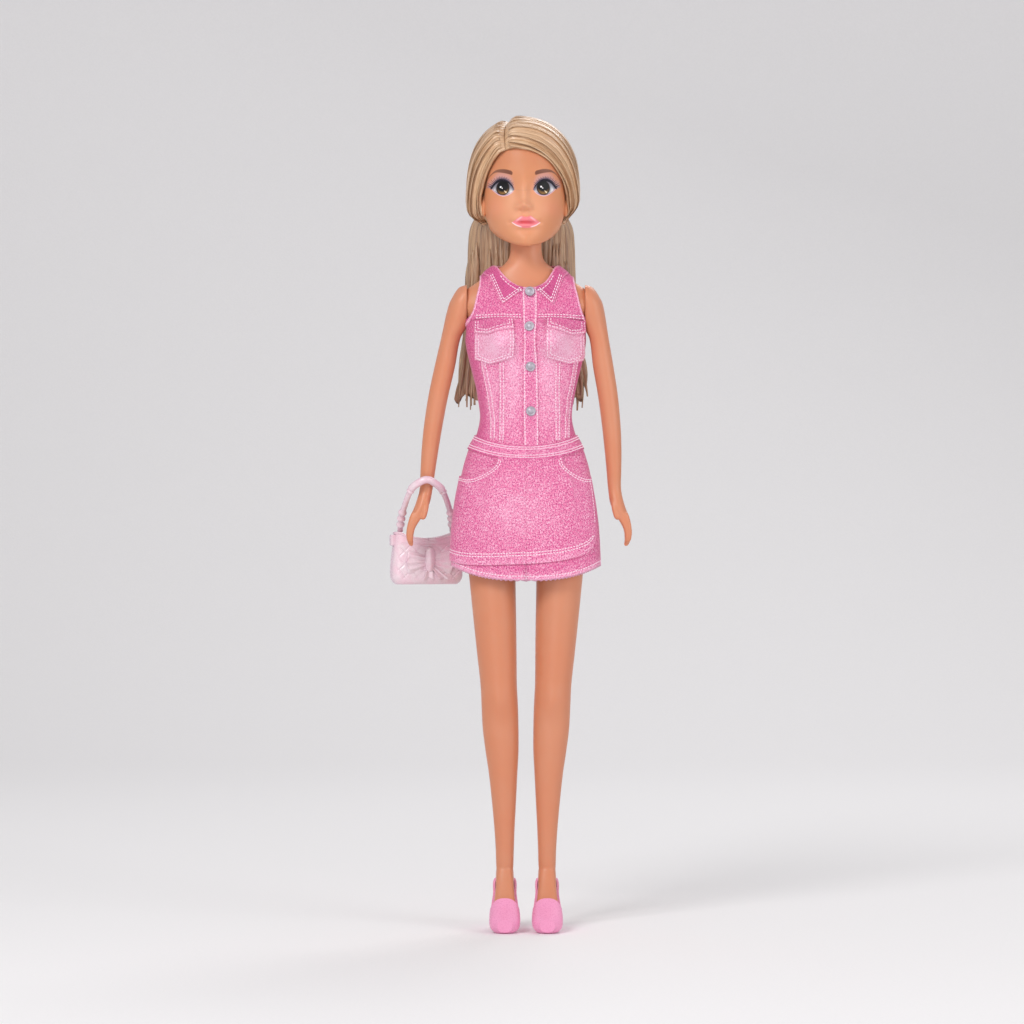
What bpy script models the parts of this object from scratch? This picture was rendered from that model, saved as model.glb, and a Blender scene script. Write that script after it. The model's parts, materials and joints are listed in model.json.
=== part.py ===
"""Articulated fashion doll in a sleeveless shirt dress, with a handbag on its wrist.

The doll faces -Y, its left hand is at +X, and it stands on Z = 0. All sizes are in metres.
"""
import math

import bmesh
import bpy
from mathutils import Matrix, Vector

# Heights: the hip joint is above the ground, and each of the others is measured from the one before it
hip_height = 0.153
crotch_drop = 0.0085
waist_rise = 0.031
shoulder_rise = 0.041
neck_rise = 0.024
chin_drop = 0.0037
crotch_height = hip_height - crotch_drop
waist_height = hip_height + waist_rise
shoulder_height = waist_height + shoulder_rise
neck_top_height = shoulder_height + neck_rise
chin_height = neck_top_height - chin_drop

# Clearances between pieces
part_gap = 0.0003
joint_gap = 0.00035
overrun = 0.02

# Torso
hip_half_width = 0.0233
hip_front = 0.0104
hip_back = 0.0123
shoulder_half_width = 0.021
chest_depth = 0.0095
bust_reach = 0.0048
bust_spacing_share = 0.438
bust_height_share = 0.6585
bust_spread = 0.0056
bust_ease = 0.001
torso_wall = 0.0016
shoulder_wall = 0.0026
cavity_low_share = 0.468
cavity_high_share = 0.333
crotch_half_width = 0.0032
bust_height = waist_height + bust_height_share * shoulder_rise
bust_spacing = bust_spacing_share * shoulder_half_width
cavity_low = hip_height + cavity_low_share * waist_rise
cavity_high = shoulder_height + cavity_high_share * neck_rise

# Head
head_half_width = 0.015
head_height = 0.0442
face_depth = 0.017
skull_depth = 0.0174
head_wall = 0.0019
neck_seat_radius = 0.0059
nose_reach = 0.0034
nose_half_width = 0.0019
nose_height_share = 0.337
nose_rise = 0.0046
nose_base = 0.0015
eye_spacing = 0.0073
eye_height_share = 0.4864
eye_sink = 0.0007
eye_spread = 0.0034
lip_height_share = 0.206
lip_reach = 0.0009
lip_half_width = 0.0042
lip_half_height = 0.0017
nose_height = chin_height + nose_height_share * head_height
eye_height = chin_height + eye_height_share * head_height
lip_height = chin_height + lip_height_share * head_height

# Neck knob, which the head is pushed over
knob_stem_radius = 0.0019
knob_stem_depth = 0.006
knob_neck_radius = 0.0031
knob_neck_length = head_wall + 4 * part_gap
knob_head_radius = 0.005
knob_head_height = 0.005
neck_axis_y = 0.0002

# Hair
hair_side_thickness = 0.0056
hair_front_thickness = 0.0016
hair_back_thickness = 0.0024
hair_top_thickness = 0.0028
hair_edge_rise = 0.0017
hair_fall_length = 0.0617
hair_fall_thickness = 0.0042
face_opening_ease = 0.0006
face_opening_share = 0.857
parting_offset_share = -0.553
hair_neck_half_width = 0.0128
hair_neck_back = 0.009
hair_neck_rise = 0.0122
hair_half_width = head_half_width + hair_side_thickness
hair_front = face_depth + hair_front_thickness
hair_back_reach = skull_depth + hair_back_thickness
hair_top = chin_height + head_height + hair_top_thickness
hair_low = chin_height + hair_edge_rise
hair_neck_top = chin_height + hair_neck_rise
face_opening_half_width = head_half_width + face_opening_ease
face_opening_top = chin_height + face_opening_share * head_height
parting_offset = parting_offset_share * head_half_width

# Arms
arm_length = 0.0876
arm_radius = 0.0037
hand_clearance = 0.01005
hand_forward = 0.002
arm_splay_right = 0.06
arm_splay_left = 0.0
arm_knob_shaft_radius = 0.002
arm_knob_radius = 0.0028
arm_knob_length = 0.0023
thumb_length = 0.0062
thumb_radius = 0.0011

# Legs
hip_radius = 0.0115
hip_cover = 0.0006
hip_back_edge = 0.005
pin_radius = 0.002
pin_half_length = 0.009
thigh_half_width = (hip_half_width - hip_cover - crotch_half_width - joint_gap) / 2
leg_spacing = crotch_half_width + joint_gap + thigh_half_width

# Feet and shoes
ankle_height = 0.026
foot_length = 0.025
foot_half_width = 0.0044
heel_back = 0.0065
shoe_wall = 0.0008
heel_position = 0.0042
heel_tip_radius = 0.0015
heel_top_radius = 0.0028
heel_height = 0.0135

# Dress
dress_lift = 0.0004
cloth = 0.0007
trim = 0.0005
trim_gap = 0.0006
over_dress = dress_lift + cloth + trim_gap
dress_top_share = 0.558
band_top_drop = 0.0069
band_width = 0.0051
band_dip = 0.0036
skirt_hug_rise = 0.013
skirt_length = 0.0415
skirt_hem_dip = 0.0055
skirt_side_flare = 0.0033
skirt_front_flare = 0.0023
skirt_back_flare = 0.0028
overlap_hem_rise = 0.0065
overlap_pocket_depth = 0.0098
placket_half_width = 0.0025
placket_offset = 0.0013
button_radius = 0.00175
button_rise = 0.0009
pocket_inner = 0.0047
flap_drop = 0.0048
flap_point = 0.0011
pocket_drop = 0.0086
closure_half_width = 0.003
bodice_top = shoulder_height + dress_top_share * neck_rise
band_top = waist_height - band_top_drop
band_bottom = band_top - band_width
skirt_hug_height = hip_height + skirt_hug_rise
skirt_hem_height = band_bottom - skirt_length
skirt_hem_half_width = hip_half_width + skirt_side_flare
skirt_hem_front = hip_radius + skirt_front_flare
skirt_hem_back = hip_radius + skirt_back_flare
arm_reach = skirt_hem_half_width + hand_clearance - shoulder_half_width - joint_gap
# Places across the bodice, as shares of the shoulder's half width
neckline_half_width = 0.4476 * shoulder_half_width
armhole_top_half_width = 0.7476 * shoulder_half_width
armhole_low_half_width = 0.981 * shoulder_half_width
collar_top_reach = 0.4714 * shoulder_half_width
collar_outer_reach = 0.6667 * shoulder_half_width
collar_point_reach = 0.419 * shoulder_half_width
pocket_outer = 0.8476 * shoulder_half_width
# Places on the bodice, as shares of the way from the waistband's top to the bodice's top
neckline_low_share = 0.868
armhole_low_share = 0.6346
placket_top_share = 0.8826
collar_top_share = 0.9706
collar_outer_share = 0.9315
collar_point_share = 0.7749
flap_top_share = 0.6803
closure_low_share = 0.2104
closure_high_share = 0.9608
button_shares = (0.85, 0.6444, 0.4111, 0.1468)

# Fall of hair, just behind the dress
hair_fall_front = chest_depth + over_dress + trim
hair_fall_half_width_share = 1.01

# Handbag
wrist_share = 0.7283
bag_hang_shift = 0.0006
bag_back = 0.0125
bag_turn = math.radians(18)
bag_height = 0.0186
bag_half_length = 0.0133
bag_half_depth = 0.0045
bag_wall = 0.0009
bag_rim_dip = 0.0034
bag_tab_length = 0.0014
bag_tab_height = 0.004
handle_rise = 0.019
handle_half_span = 0.0099
handle_radius = 0.00105
grip_radius = 0.00125
handle_clearance = 0.0004
bead_radius = 0.0014
bow_half_width = 0.0082
bow_half_height = 0.0045
bow_knot_radius = 0.0021
bow_thickness = 0.0012
handle_top = shoulder_height - wrist_share * arm_length
bag_low = handle_top - handle_rise - bag_height

# Shares of the torso from crotch to waist: height, half width, front depth, back depth
lower_torso_shares = (
    (0.00, 0.84, 0.55, 0.55),
    (0.12, 0.94, 0.84, 0.80),
    (0.32, 1.00, 0.98, 0.98),
    (0.52, 0.98, 1.00, 0.97),
    (0.72, 0.88, 0.97, 0.87),
    (0.86, 0.745, 0.90, 0.74),
    (1.00, 0.615, 0.80, 0.63),
)
# Shares of the torso from waist to shoulder: height, half width, front depth, back depth
chest_shares = (
    (0.19, 0.73, 0.88, 0.83),
    (0.43, 0.825, 0.97, 0.905),
    (0.66, 0.92, 1.01, 0.97),
    (0.79, 0.945, 1.00, 0.96),
    (0.89, 1.09, 0.96, 0.94),
    (0.98, 1.24, 0.88, 0.90),
)
# Shares of the torso from shoulder to neck top: height, half width, front depth, back depth
neck_shares = (
    (0.13, 1.14, 0.78, 0.82),
    (0.27, 0.905, 0.67, 0.73),
    (0.43, 0.64, 0.59, 0.65),
    (0.59, 0.36, 0.56, 0.60),
    (0.73, 0.276, 0.55, 0.58),
    (1.00, 0.267, 0.55, 0.57),
)
# Shares of the head above the neck seat: front height, back height, half width, front depth, back depth
head_shares = (
    (0.023, 0.136, 0.49, 0.65, 0.55),
    (0.000, 0.170, 0.667, 0.86, 0.69),
    (0.043, 0.226, 0.82, 0.94, 0.80),
    (0.124, 0.300, 0.907, 0.953, 0.90),
    (0.220, 0.378, 0.967, 0.982, 0.96),
    (0.337, 0.464, 0.997, 0.976, 0.994),
    (0.468, 0.547, 1.00, 0.947, 1.00),
    (0.604, 0.631, 0.993, 0.988, 0.977),
    (0.735, 0.735, 0.947, 0.959, 0.92),
    (0.853, 0.853, 0.82, 0.82, 0.793),
    (0.939, 0.939, 0.613, 0.61, 0.598),
    (0.989, 0.989, 0.32, 0.318, 0.31),
    (1.000, 1.000, 0.03, 0.03, 0.03),
)
# Shares of the hair from its lower edge to its top: height, half width, front depth, back depth
hair_shares = (
    (0.00, 0.915, 0.50, 0.80),
    (0.11, 0.955, 0.64, 0.88),
    (0.33, 1.00, 0.80, 0.96),
    (0.55, 0.975, 0.94, 1.00),
    (0.71, 0.885, 1.00, 0.96),
    (0.84, 0.72, 0.89, 0.835),
    (0.94, 0.46, 0.565, 0.555),
    (0.985, 0.20, 0.24, 0.25),
    (1.00, 0.02, 0.02, 0.02),
)
# Shares of the fall of hair from its top to its tip: drop, half width, front face, thickness
hair_back_shares = (
    (0.00, 0.975, 0.76, 2.15),
    (0.11, 0.99, 0.84, 1.75),
    (0.26, 1.00, 0.92, 1.40),
    (0.58, 1.00, 1.00, 1.00),
    (0.78, 0.99, 1.00, 0.90),
    (0.92, 0.93, 1.01, 0.78),
    (1.00, 0.84, 1.03, 0.60),
)
# Outline of the face opening, from its lower right corner over the top: across, height
face_opening_shares = (
    (-0.94, 0.00),
    (-0.975, 0.25),
    (-1.00, 0.55),
    (-0.91, 0.74),
    (-0.74, 0.90),
    (-0.53, 0.99),
    (-0.13, 1.00),
    (0.32, 0.94),
    (0.67, 0.79),
    (0.86, 0.62),
    (0.95, 0.45),
    (0.975, 0.22),
    (0.86, 0.00),
)
# Shares of the arm: drop, reach outwards, half width, half depth, forward bend of the hand
arm_shares = (
    (-0.078, 0.02, 0.50, 0.55, 0.0),
    (-0.064, 0.05, 1.00, 1.10, 0.0),
    (-0.034, 0.08, 1.03, 1.52, 0.0),
    (0.000, 0.105, 1.24, 1.65, 0.0),
    (0.046, 0.15, 1.30, 1.57, 0.0),
    (0.097, 0.235, 1.135, 1.35, 0.0),
    (0.148, 0.327, 0.945, 1.21, 0.0),
    (0.262, 0.425, 1.00, 1.135, 0.0),
    (0.376, 0.53, 0.973, 1.08, 0.0),
    (0.491, 0.605, 0.92, 1.03, 0.0),
    (0.594, 0.65, 0.838, 0.92, 0.10),
    (0.685, 0.673, 0.73, 0.81, 0.20),
    (0.765, 0.69, 0.635, 0.675, 0.35),
    (0.828, 0.758, 0.676, 0.945, 0.60),
    (0.879, 0.889, 0.568, 1.00, 0.80),
    (0.925, 0.987, 0.378, 0.945, 1.00),
    (0.965, 1.00, 0.297, 0.865, 1.05),
    (1.000, 0.948, 0.19, 0.62, 1.10),
)
# Shares of the leg below the hip: height, spacing, half width, front depth, back depth
leg_shares = (
    (0.111, 0.58, 0.26, 0.17, 0.36),
    (0.144, 0.58, 0.323, 0.26, 0.365),
    (0.183, 0.58, 0.344, 0.296, 0.339),
    (0.235, 0.588, 0.385, 0.322, 0.383),
    (0.300, 0.603, 0.458, 0.374, 0.487),
    (0.366, 0.626, 0.542, 0.443, 0.609),
    (0.418, 0.656, 0.625, 0.496, 0.661),
    (0.471, 0.695, 0.677, 0.548, 0.643),
    (0.523, 0.718, 0.6875, 0.609, 0.574),
    (0.575, 0.748, 0.6875, 0.643, 0.574),
    (0.641, 0.794, 0.74, 0.678, 0.635),
    (0.719, 0.847, 0.80, 0.73, 0.704),
    (0.784, 0.893, 0.844, 0.774, 0.757),
    (0.856, 0.939, 0.896, 0.817, 0.817),
    (0.915, 0.977, 0.958, 0.887, 0.922),
    (0.961, 0.992, 0.99, 0.957, 0.991),
)
# Angles up the round top of the leg and the width share there
leg_top_shares = ((0.0, 1.00), (0.30, 0.97), (0.58, 0.86), (0.82, 0.62), (0.94, 0.34))
# Shares of the foot from heel to toe: length, half width, underside height, top height
foot_shares = (
    (0.00, 0.30, 0.56, 0.72),
    (0.06, 0.61, 0.48, 0.87),
    (0.16, 0.73, 0.42, 0.96),
    (0.32, 0.73, 0.34, 0.90),
    (0.48, 0.80, 0.215, 0.67),
    (0.64, 0.93, 0.085, 0.46),
    (0.78, 1.00, 0.032, 0.32),
    (0.90, 0.91, 0.032, 0.23),
    (1.00, 0.41, 0.065, 0.16),
)
# Top edge of the shoe, in the side view: along the foot, height
shoe_edge_shares = (
    (-0.20, 0.84),
    (0.05, 0.80),
    (0.26, 0.56),
    (0.46, 0.40),
    (0.62, 0.27),
    (0.70, 0.33),
    (0.71, 1.30),
)
# Shares of the skirt from its hem to where it leaves the body: height, half width, front, back, squareness
skirt_shares = (
    (0.84, 0.892, 0.865, 0.90, 1.0),
    (0.63, 0.925, 0.935, 0.935, 1.0),
    (0.35, 0.97, 0.955, 0.96, 1.0),
)
# Armhole edge from its top to its low end: height, half width between the two named widths
armhole_shares = (
    (1.00, 0.00),
    (0.80, 0.02),
    (0.62, 0.08),
    (0.38, 0.27),
    (0.20, 0.52),
    (0.06, 0.82),
    (0.00, 1.00),
)
# Neckline edge: across, height
neckline_shares = (
    (-1.00, 1.00),
    (-0.93, 0.72),
    (-0.62, 0.28),
    (-0.22, 0.00),
    (0.34, 0.00),
    (0.66, 0.28),
    (0.95, 0.72),
    (1.00, 1.00),
)
# Shares of the bag from bottom to rim: height, half length, half depth
bag_shares = (
    (0.00, 0.86, 0.72),
    (0.05, 0.94, 0.90),
    (0.16, 1.00, 1.00),
    (0.45, 0.985, 1.00),
    (0.80, 0.93, 0.90),
    (1.00, 0.90, 0.80),
)
# Outline of the bow, one quarter: across, height
bow_shares = ((0.0, 0.28), (0.35, 0.42), (0.80, 0.95), (1.0, 1.0), (0.96, 0.5), (1.0, 0.0))

# Middles of the beads at each end of the handle, and their spread, as shares of the handle's length
bead_shares = (0.055, 0.095, 0.135)
bead_spread_share = 0.014
grip_start_share = 0.3

probe_share = 0.004
ring_power_share = 0.77
skirt_corner_share = 0.27


def clear_scene():
    for item in list(bpy.data.objects):
        bpy.data.objects.remove(item, do_unlink=True)


def make_collection(name, hidden):
    collection = bpy.data.collections.new(name)
    bpy.context.scene.collection.children.link(collection)
    collection.hide_render = hidden
    return collection


clear_scene()
parts = make_collection("fashion_doll", False)
tools = make_collection("cutters", True)


def make_material(name, color, roughness, metallic=0.0):
    material = bpy.data.materials.new(name)
    material.use_nodes = True
    shader = material.node_tree.nodes["Principled BSDF"]
    shader.inputs["Base Color"].default_value = (*color, 1.0)
    shader.inputs["Roughness"].default_value = roughness
    shader.inputs["Metallic"].default_value = metallic
    material.diffuse_color = (*color, 1.0)
    return material


skin = make_material("skin", (0.78, 0.42, 0.28), 0.38)
hair_blonde = make_material("hair_blonde", (0.80, 0.64, 0.40), 0.35)
denim = make_material("pink_denim", (0.86, 0.34, 0.58), 0.85)
denim_trim = make_material("pink_denim_trim", (0.88, 0.40, 0.63), 0.85)
pearl = make_material("pearl_plastic", (0.86, 0.76, 0.80), 0.30)
button_metal = make_material("button_metal", (0.62, 0.60, 0.66), 0.35, 0.8)
shoe_plastic = make_material("shoe_plastic", (0.88, 0.45, 0.66), 0.35)
knob_plastic = make_material("knob_plastic", (0.70, 0.66, 0.60), 0.5)


def make_empty(name, location, parent=None):
    empty = bpy.data.objects.new(name, None)
    parts.objects.link(empty)
    empty.parent = parent
    empty.location = Vector(location) - (parent_place(parent) if parent else Vector())
    return empty


def parent_place(item):
    """Place of an empty in the doll's frame, added up through its parents."""
    place = Vector()
    while item and item.parent:
        place += item.location
        item = item.parent
    return place


def make_object(name, mesh, material, pivot):
    """Object of a part, or a tool when it has no material, with its origin on the pivot."""
    item = bpy.data.objects.new(name, mesh)
    mesh.transform(Matrix.Translation(-parent_place(pivot)))
    item.parent = pivot
    if material:
        parts.objects.link(item)
        mesh.materials.append(material)
        mesh.shade_smooth()
        mesh.set_sharp_from_angle(angle=math.radians(40))
    else:
        tools.objects.link(item)
        item.hide_render = True
        item.display_type = "WIRE"
    return item


def mesh_from(shape, name):
    """Mesh of a bmesh whose faces are turned outwards."""
    bmesh.ops.recalc_face_normals(shape, faces=shape.faces)
    mesh = bpy.data.meshes.new(name)
    shape.to_mesh(mesh)
    shape.free()
    return mesh


def lifted(surface, u, v, lift):
    """Point of a surface, moved off it along its own normal."""
    point = surface(u, v)
    if lift == 0:
        return point
    across = surface(u + probe_share, v) - surface(u - probe_share, v)
    upward = surface(u, v + probe_share) - surface(u, v - probe_share)
    return point + across.cross(upward).normalized() * lift


def steps(count):
    return [index / count for index in range(count + 1)]


def closed_loft(name, surface, columns, rows, lift=0.0, material=None, pivot=None):
    """Solid whose side is a surface wrapped round in u, with flat ends in v."""
    shape = bmesh.new()
    rings = []
    for v in rows:
        rings.append([shape.verts.new(lifted(surface, index / columns, v, lift)) for index in range(columns)])
    for low, high in zip(rings, rings[1:]):
        for index in range(columns):
            after = (index + 1) % columns
            shape.faces.new((low[index], low[after], high[after], high[index]))
    shape.faces.new(rings[0])
    shape.faces.new(rings[-1])
    return make_object(name, mesh_from(shape, name), material, pivot)


def cloth_patch(name, surface, columns, rows, lift, thickness, material, pivot, wrapped=False):
    """Sheet over a surface, given a thickness outwards."""
    shape = bmesh.new()
    count = columns if wrapped else columns + 1
    grid = []
    for v in steps(rows):
        grid.append([shape.verts.new(lifted(surface, index / columns, v, lift)) for index in range(count)])
    for low, high in zip(grid, grid[1:]):
        for index in range(columns):
            after = (index + 1) % count
            shape.faces.new((low[index], low[after], high[after], high[index]))
    mesh = bpy.data.meshes.new(name)
    shape.to_mesh(mesh)
    shape.free()
    item = make_object(name, mesh, material, pivot)
    modifier = item.modifiers.new("thickness", "SOLIDIFY")
    modifier.thickness = thickness
    modifier.offset = 1.0
    modifier.use_even_offset = False
    return item


def block(name, low, high, pivot):
    """Box tool between two corners."""
    shape = bmesh.new()
    bmesh.ops.create_cube(shape, size=1.0)
    low = Vector(low)
    high = Vector(high)
    for vert in shape.verts:
        vert.co = Vector(low[axis] + (high[axis] - low[axis]) * (vert.co[axis] + 0.5) for axis in range(3))
    return make_object(name, mesh_from(shape, name), None, pivot)


def rod(name, start, end, radius, pivot, segments=16, material=None):
    """Round bar between two points."""
    start = Vector(start)
    end = Vector(end)
    shape = bmesh.new()
    turn = (end - start).to_track_quat("Z", "Y").to_matrix().to_4x4()
    place = Matrix.Translation((start + end) / 2) @ turn
    length = (end - start).length
    bmesh.ops.create_cone(
        shape, cap_ends=True, segments=segments, radius1=radius, radius2=radius, depth=length, matrix=place
    )
    return make_object(name, mesh_from(shape, name), material, pivot)


def prism(name, outline, axis, low, high, pivot, material=None):
    """Flat outline drawn out along an axis; the outline gives the other two coordinates in order."""
    shape = bmesh.new()
    others = [other for other in range(3) if other != axis]
    corners = []
    for first, second in outline:
        place = Vector()
        place[others[0]] = first
        place[others[1]] = second
        place[axis] = low
        corners.append(shape.verts.new(place))
    face = shape.faces.new(corners)
    grown = bmesh.ops.extrude_face_region(shape, geom=[face])
    shift = Vector()
    shift[axis] = high - low
    moved = [item for item in grown["geom"] if isinstance(item, bmesh.types.BMVert)]
    bmesh.ops.translate(shape, vec=shift, verts=moved)
    return make_object(name, mesh_from(shape, name), material, pivot)


def turned(name, profile, material, pivot, segments, place=None):
    """Turned piece: a profile of radius and height, run top to bottom, screwed about its own Z axis."""
    shape = bmesh.new()
    verts = [shape.verts.new((radius, 0.0, height)) for radius, height in profile]
    for first, second in zip(verts, verts[1:]):
        shape.edges.new((first, second))
    mesh = bpy.data.meshes.new(name)
    shape.to_mesh(mesh)
    shape.free()
    item = make_object(name, mesh, material, None)
    item.parent = pivot
    if place:
        item.matrix_local = Matrix.Translation(-parent_place(pivot)) @ place
    screw = item.modifiers.new("turn", "SCREW")
    screw.steps = segments
    screw.render_steps = segments
    screw.use_merge_vertices = True
    screw.merge_threshold = 0.00001
    return item


def combine(item, tool, operation="DIFFERENCE"):
    modifier = item.modifiers.new(tool.name, "BOOLEAN")
    modifier.operation = operation
    modifier.object = tool
    modifier.solver = "EXACT"
    return item


def row_at(rows, height):
    """Read a table, whose first column is a height, smoothly at any height."""
    ordered = sorted(rows)
    if height <= ordered[0][0]:
        return ordered[0][1:]
    if height >= ordered[-1][0]:
        return ordered[-1][1:]
    index = max(place for place, row in enumerate(ordered[:-1]) if row[0] <= height)
    below = ordered[index]
    above = ordered[index + 1]
    before = ordered[max(index - 1, 0)]
    after = ordered[min(index + 2, len(ordered) - 1)]
    span = above[0] - below[0]
    part = (height - below[0]) / span
    values = []
    for column in range(1, len(below)):
        start = span * (above[column] - before[column]) / (above[0] - before[0])
        end = span * (after[column] - below[column]) / (after[0] - below[0])
        rise = above[column] - below[column]
        square = part * part
        cube = square * part
        value = below[column] + rise * (3 * square - 2 * cube)
        value += start * (cube - 2 * square + part) + end * (cube - square)
        values.append(value)
    return values


def bump(distance, spread):
    return math.exp(-((distance / spread) ** 2))


# Torso

torso_rows = []
for share in lower_torso_shares:
    rise = crotch_height + share[0] * (waist_height - crotch_height)
    torso_rows.append((rise, share[1] * hip_half_width, share[2] * hip_front, share[3] * hip_back))
spans = ((waist_height, shoulder_rise, chest_shares), (shoulder_height, neck_rise, neck_shares))
for base, length, shares in spans:
    for share in shares:
        torso_rows.append((
            base + share[0] * length,
            share[1] * shoulder_half_width,
            share[2] * chest_depth,
            share[3] * chest_depth,
        ))


def torso_point(angle, height, ease=0.0):
    """Point on the torso: angle 0 is the front, a quarter turn is its left side; ease widens the bust."""
    half_width, front, back = row_at(torso_rows, height)
    across = half_width * math.sin(angle)
    facing = math.cos(angle)
    depth = -(front if facing > 0 else back) * facing
    if facing > 0:
        swell = bump(abs(across) - bust_spacing, bust_spread) * bump(height - bust_height, bust_spread)
        depth -= (bust_reach + ease) * swell * facing ** 0.5
    return Vector((across, depth, height))


def torso_front_point(across, height):
    """Point under the dress, at a distance across its front."""
    half_width = row_at(torso_rows, height)[0]
    return torso_point(math.asin(max(-1.0, min(1.0, across / half_width))), height, bust_ease)


def make_torso(root):
    def surface(u, v):
        return torso_point(2 * math.pi * u, crotch_height + (neck_top_height - crotch_height) * v)

    ring_heights = sorted(row[0] for row in torso_rows)
    filled = [ring_heights[0]]
    for low, high in zip(ring_heights, ring_heights[1:]):
        count = 2 if abs(high - bust_height) < 2 * bust_spread else 1
        filled += [low + (high - low) * share for share in steps(count)[1:]]
    rows = [(height - crotch_height) / (neck_top_height - crotch_height) for height in filled]
    cavity = make_cavity(root)
    front = closed_loft("torso_front", surface, 24, rows, 0.0, skin, root)
    back = closed_loft("torso_back", surface, 24, rows, 0.0, skin, root)
    reach = hip_half_width + overrun
    top = neck_top_height + overrun
    front_space = block("front_space", (-reach, -reach, -overrun), (reach, part_gap / 2, top), root)
    back_space = block("back_space", (-reach, -part_gap / 2, -overrun), (reach, reach, top), root)
    stem_bore = rod(
        "stem_bore",
        (0, neck_axis_y, neck_top_height - knob_stem_depth - part_gap),
        (0, neck_axis_y, neck_top_height + overrun),
        knob_stem_radius + part_gap,
        root,
    )
    bore_end = crotch_half_width + overrun
    pin_bore = rod(
        "pin_bore", (-bore_end, 0, hip_height), (bore_end, 0, hip_height), pin_radius + part_gap, root
    )
    for shell, kept_clear in ((front, back_space), (back, front_space)):
        combine(shell, kept_clear)
        for sign in (1, -1):
            for tool in hip_tools(root, sign) + shoulder_tools(root, sign):
                combine(shell, tool)
        for tool in cavity:
            combine(shell, tool)
        combine(shell, stem_bore)
        combine(shell, pin_bore)


def make_cavity(root):
    """Hollow of the torso, and a round space across the shoulders for the arms' knobs."""
    limit = shoulder_half_width - shoulder_wall

    def surface(u, v):
        angle = 2 * math.pi * u
        height = cavity_low + v * (cavity_high - cavity_low)
        half_width, front, back = row_at(torso_rows, height)
        facing = math.cos(angle)
        depth = (front if facing > 0 else back) - torso_wall
        return Vector((min(half_width - torso_wall, limit) * math.sin(angle), -depth * facing, height))

    knob_space = rod(
        "knob_space",
        (-limit, 0, shoulder_height),
        (limit, 0, shoulder_height),
        arm_knob_radius + joint_gap,
        root,
    )
    return [closed_loft("torso_cavity", surface, 14, steps(9), 0.0, None, root), knob_space]


made_tools = {}


def hip_tools(root, sign):
    """Space for the top of a leg: round above, open in front, with a lower edge behind."""
    key = ("hip", sign)
    if key not in made_tools:
        side = "left" if sign > 0 else "right"
        radius = hip_radius + joint_gap
        deep = hip_radius + overrun
        low = crotch_height - overrun
        outline = [(-deep, low), (-deep, hip_height + radius)]
        last_angle = math.asin(hip_back_edge / radius)
        for share in steps(10):
            angle = math.pi / 2 + share * (last_angle - math.pi / 2)
            outline.append((radius * math.cos(angle), hip_height + radius * math.sin(angle)))
        outline += [(deep, hip_height + hip_back_edge), (deep, low)]
        inner = sign * crotch_half_width
        outer = sign * (hip_half_width + overrun)
        seat = prism("leg_space_" + side, outline, 0, min(inner, outer), max(inner, outer), root)
        made_tools[key] = [seat]
    return made_tools[key]


def shoulder_tools(root, sign):
    """Flat shoulder face, and the hole that the arm's knob passes."""
    key = ("shoulder", sign)
    if key not in made_tools:
        side = "left" if sign > 0 else "right"
        plane = sign * shoulder_half_width
        beyond = sign * (shoulder_half_width + overrun)
        reach = chest_depth + overrun
        low = (min(plane, beyond), -reach, bust_height)
        high = (max(plane, beyond), reach, neck_top_height)
        flat = block("shoulder_face_" + side, low, high, root)
        inner = sign * (shoulder_half_width - shoulder_wall - arm_knob_length)
        hole = rod(
            "shoulder_hole_" + side,
            (inner, 0, shoulder_height),
            (beyond, 0, shoulder_height),
            arm_knob_shaft_radius + joint_gap,
            root,
        )
        made_tools[key] = [flat, hole]
    return made_tools[key]


def make_neck_knob(root):
    """Knob with a stem in the neck, a shaft through the head's opening and a round head."""
    top = neck_top_height + part_gap
    shaft_top = top + knob_neck_length
    head_top = shaft_top + knob_head_height
    profile = [
        (0.0, head_top),
        (knob_head_radius * 0.6, head_top - knob_head_height * 0.12),
        (knob_head_radius * 0.9, head_top - knob_head_height * 0.4),
        (knob_head_radius, shaft_top + knob_head_height * 0.2),
        (knob_head_radius * 0.96, shaft_top),
        (knob_neck_radius, shaft_top),
        (knob_neck_radius, top),
        (knob_stem_radius, top),
        (knob_stem_radius, neck_top_height - knob_stem_depth),
        (0.0, neck_top_height - knob_stem_depth),
    ]
    turned("neck_knob", profile, knob_plastic, root, 14, Matrix.Translation((0, neck_axis_y, 0)))


def make_hip_pin(root):
    rod(
        "hip_pin",
        (-pin_half_length, 0, hip_height),
        (pin_half_length, 0, hip_height),
        pin_radius,
        root,
        16,
        knob_plastic,
    )


# Head and hair

seat_height = neck_top_height + joint_gap
head_rows = [(0.0, seat_height, seat_height, neck_seat_radius, neck_seat_radius, neck_seat_radius)]
for index, share in enumerate(head_shares):
    head_rows.append((
        (index + 1) / len(head_shares),
        chin_height + share[0] * head_height,
        chin_height + share[1] * head_height,
        share[2] * head_half_width,
        share[3] * face_depth,
        share[4] * skull_depth,
    ))


def face_relief(across, height):
    """How far the face stands out of the plain head: nose and lips out, eye sockets in."""
    rise = nose_rise if height > nose_height else nose_base
    relief = nose_reach * bump(across, nose_half_width) * bump(height - nose_height, rise)
    relief += lip_reach * bump(across, lip_half_width) * bump(height - lip_height, lip_half_height)
    relief -= eye_sink * bump(abs(across) - eye_spacing, eye_spread) * bump(height - eye_height, eye_spread)
    return relief


def head_point(u, v):
    """Point on the head; the columns stand closer together over the face."""
    turn = 2 * math.pi * u
    angle = turn - 0.35 * math.sin(turn)
    front_height, back_height, half_width, front, back = row_at(head_rows, v)
    facing = math.cos(angle)
    across = half_width * math.sin(angle)
    depth = -(front if facing > 0 else back) * facing
    share = (1 - facing) / 2
    height = front_height + (back_height - front_height) * share
    if facing > 0 and v > 1 / len(head_shares):
        depth -= face_relief(across, height) * min(1.0, 2 * facing)
    return Vector((across, depth, height))


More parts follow.
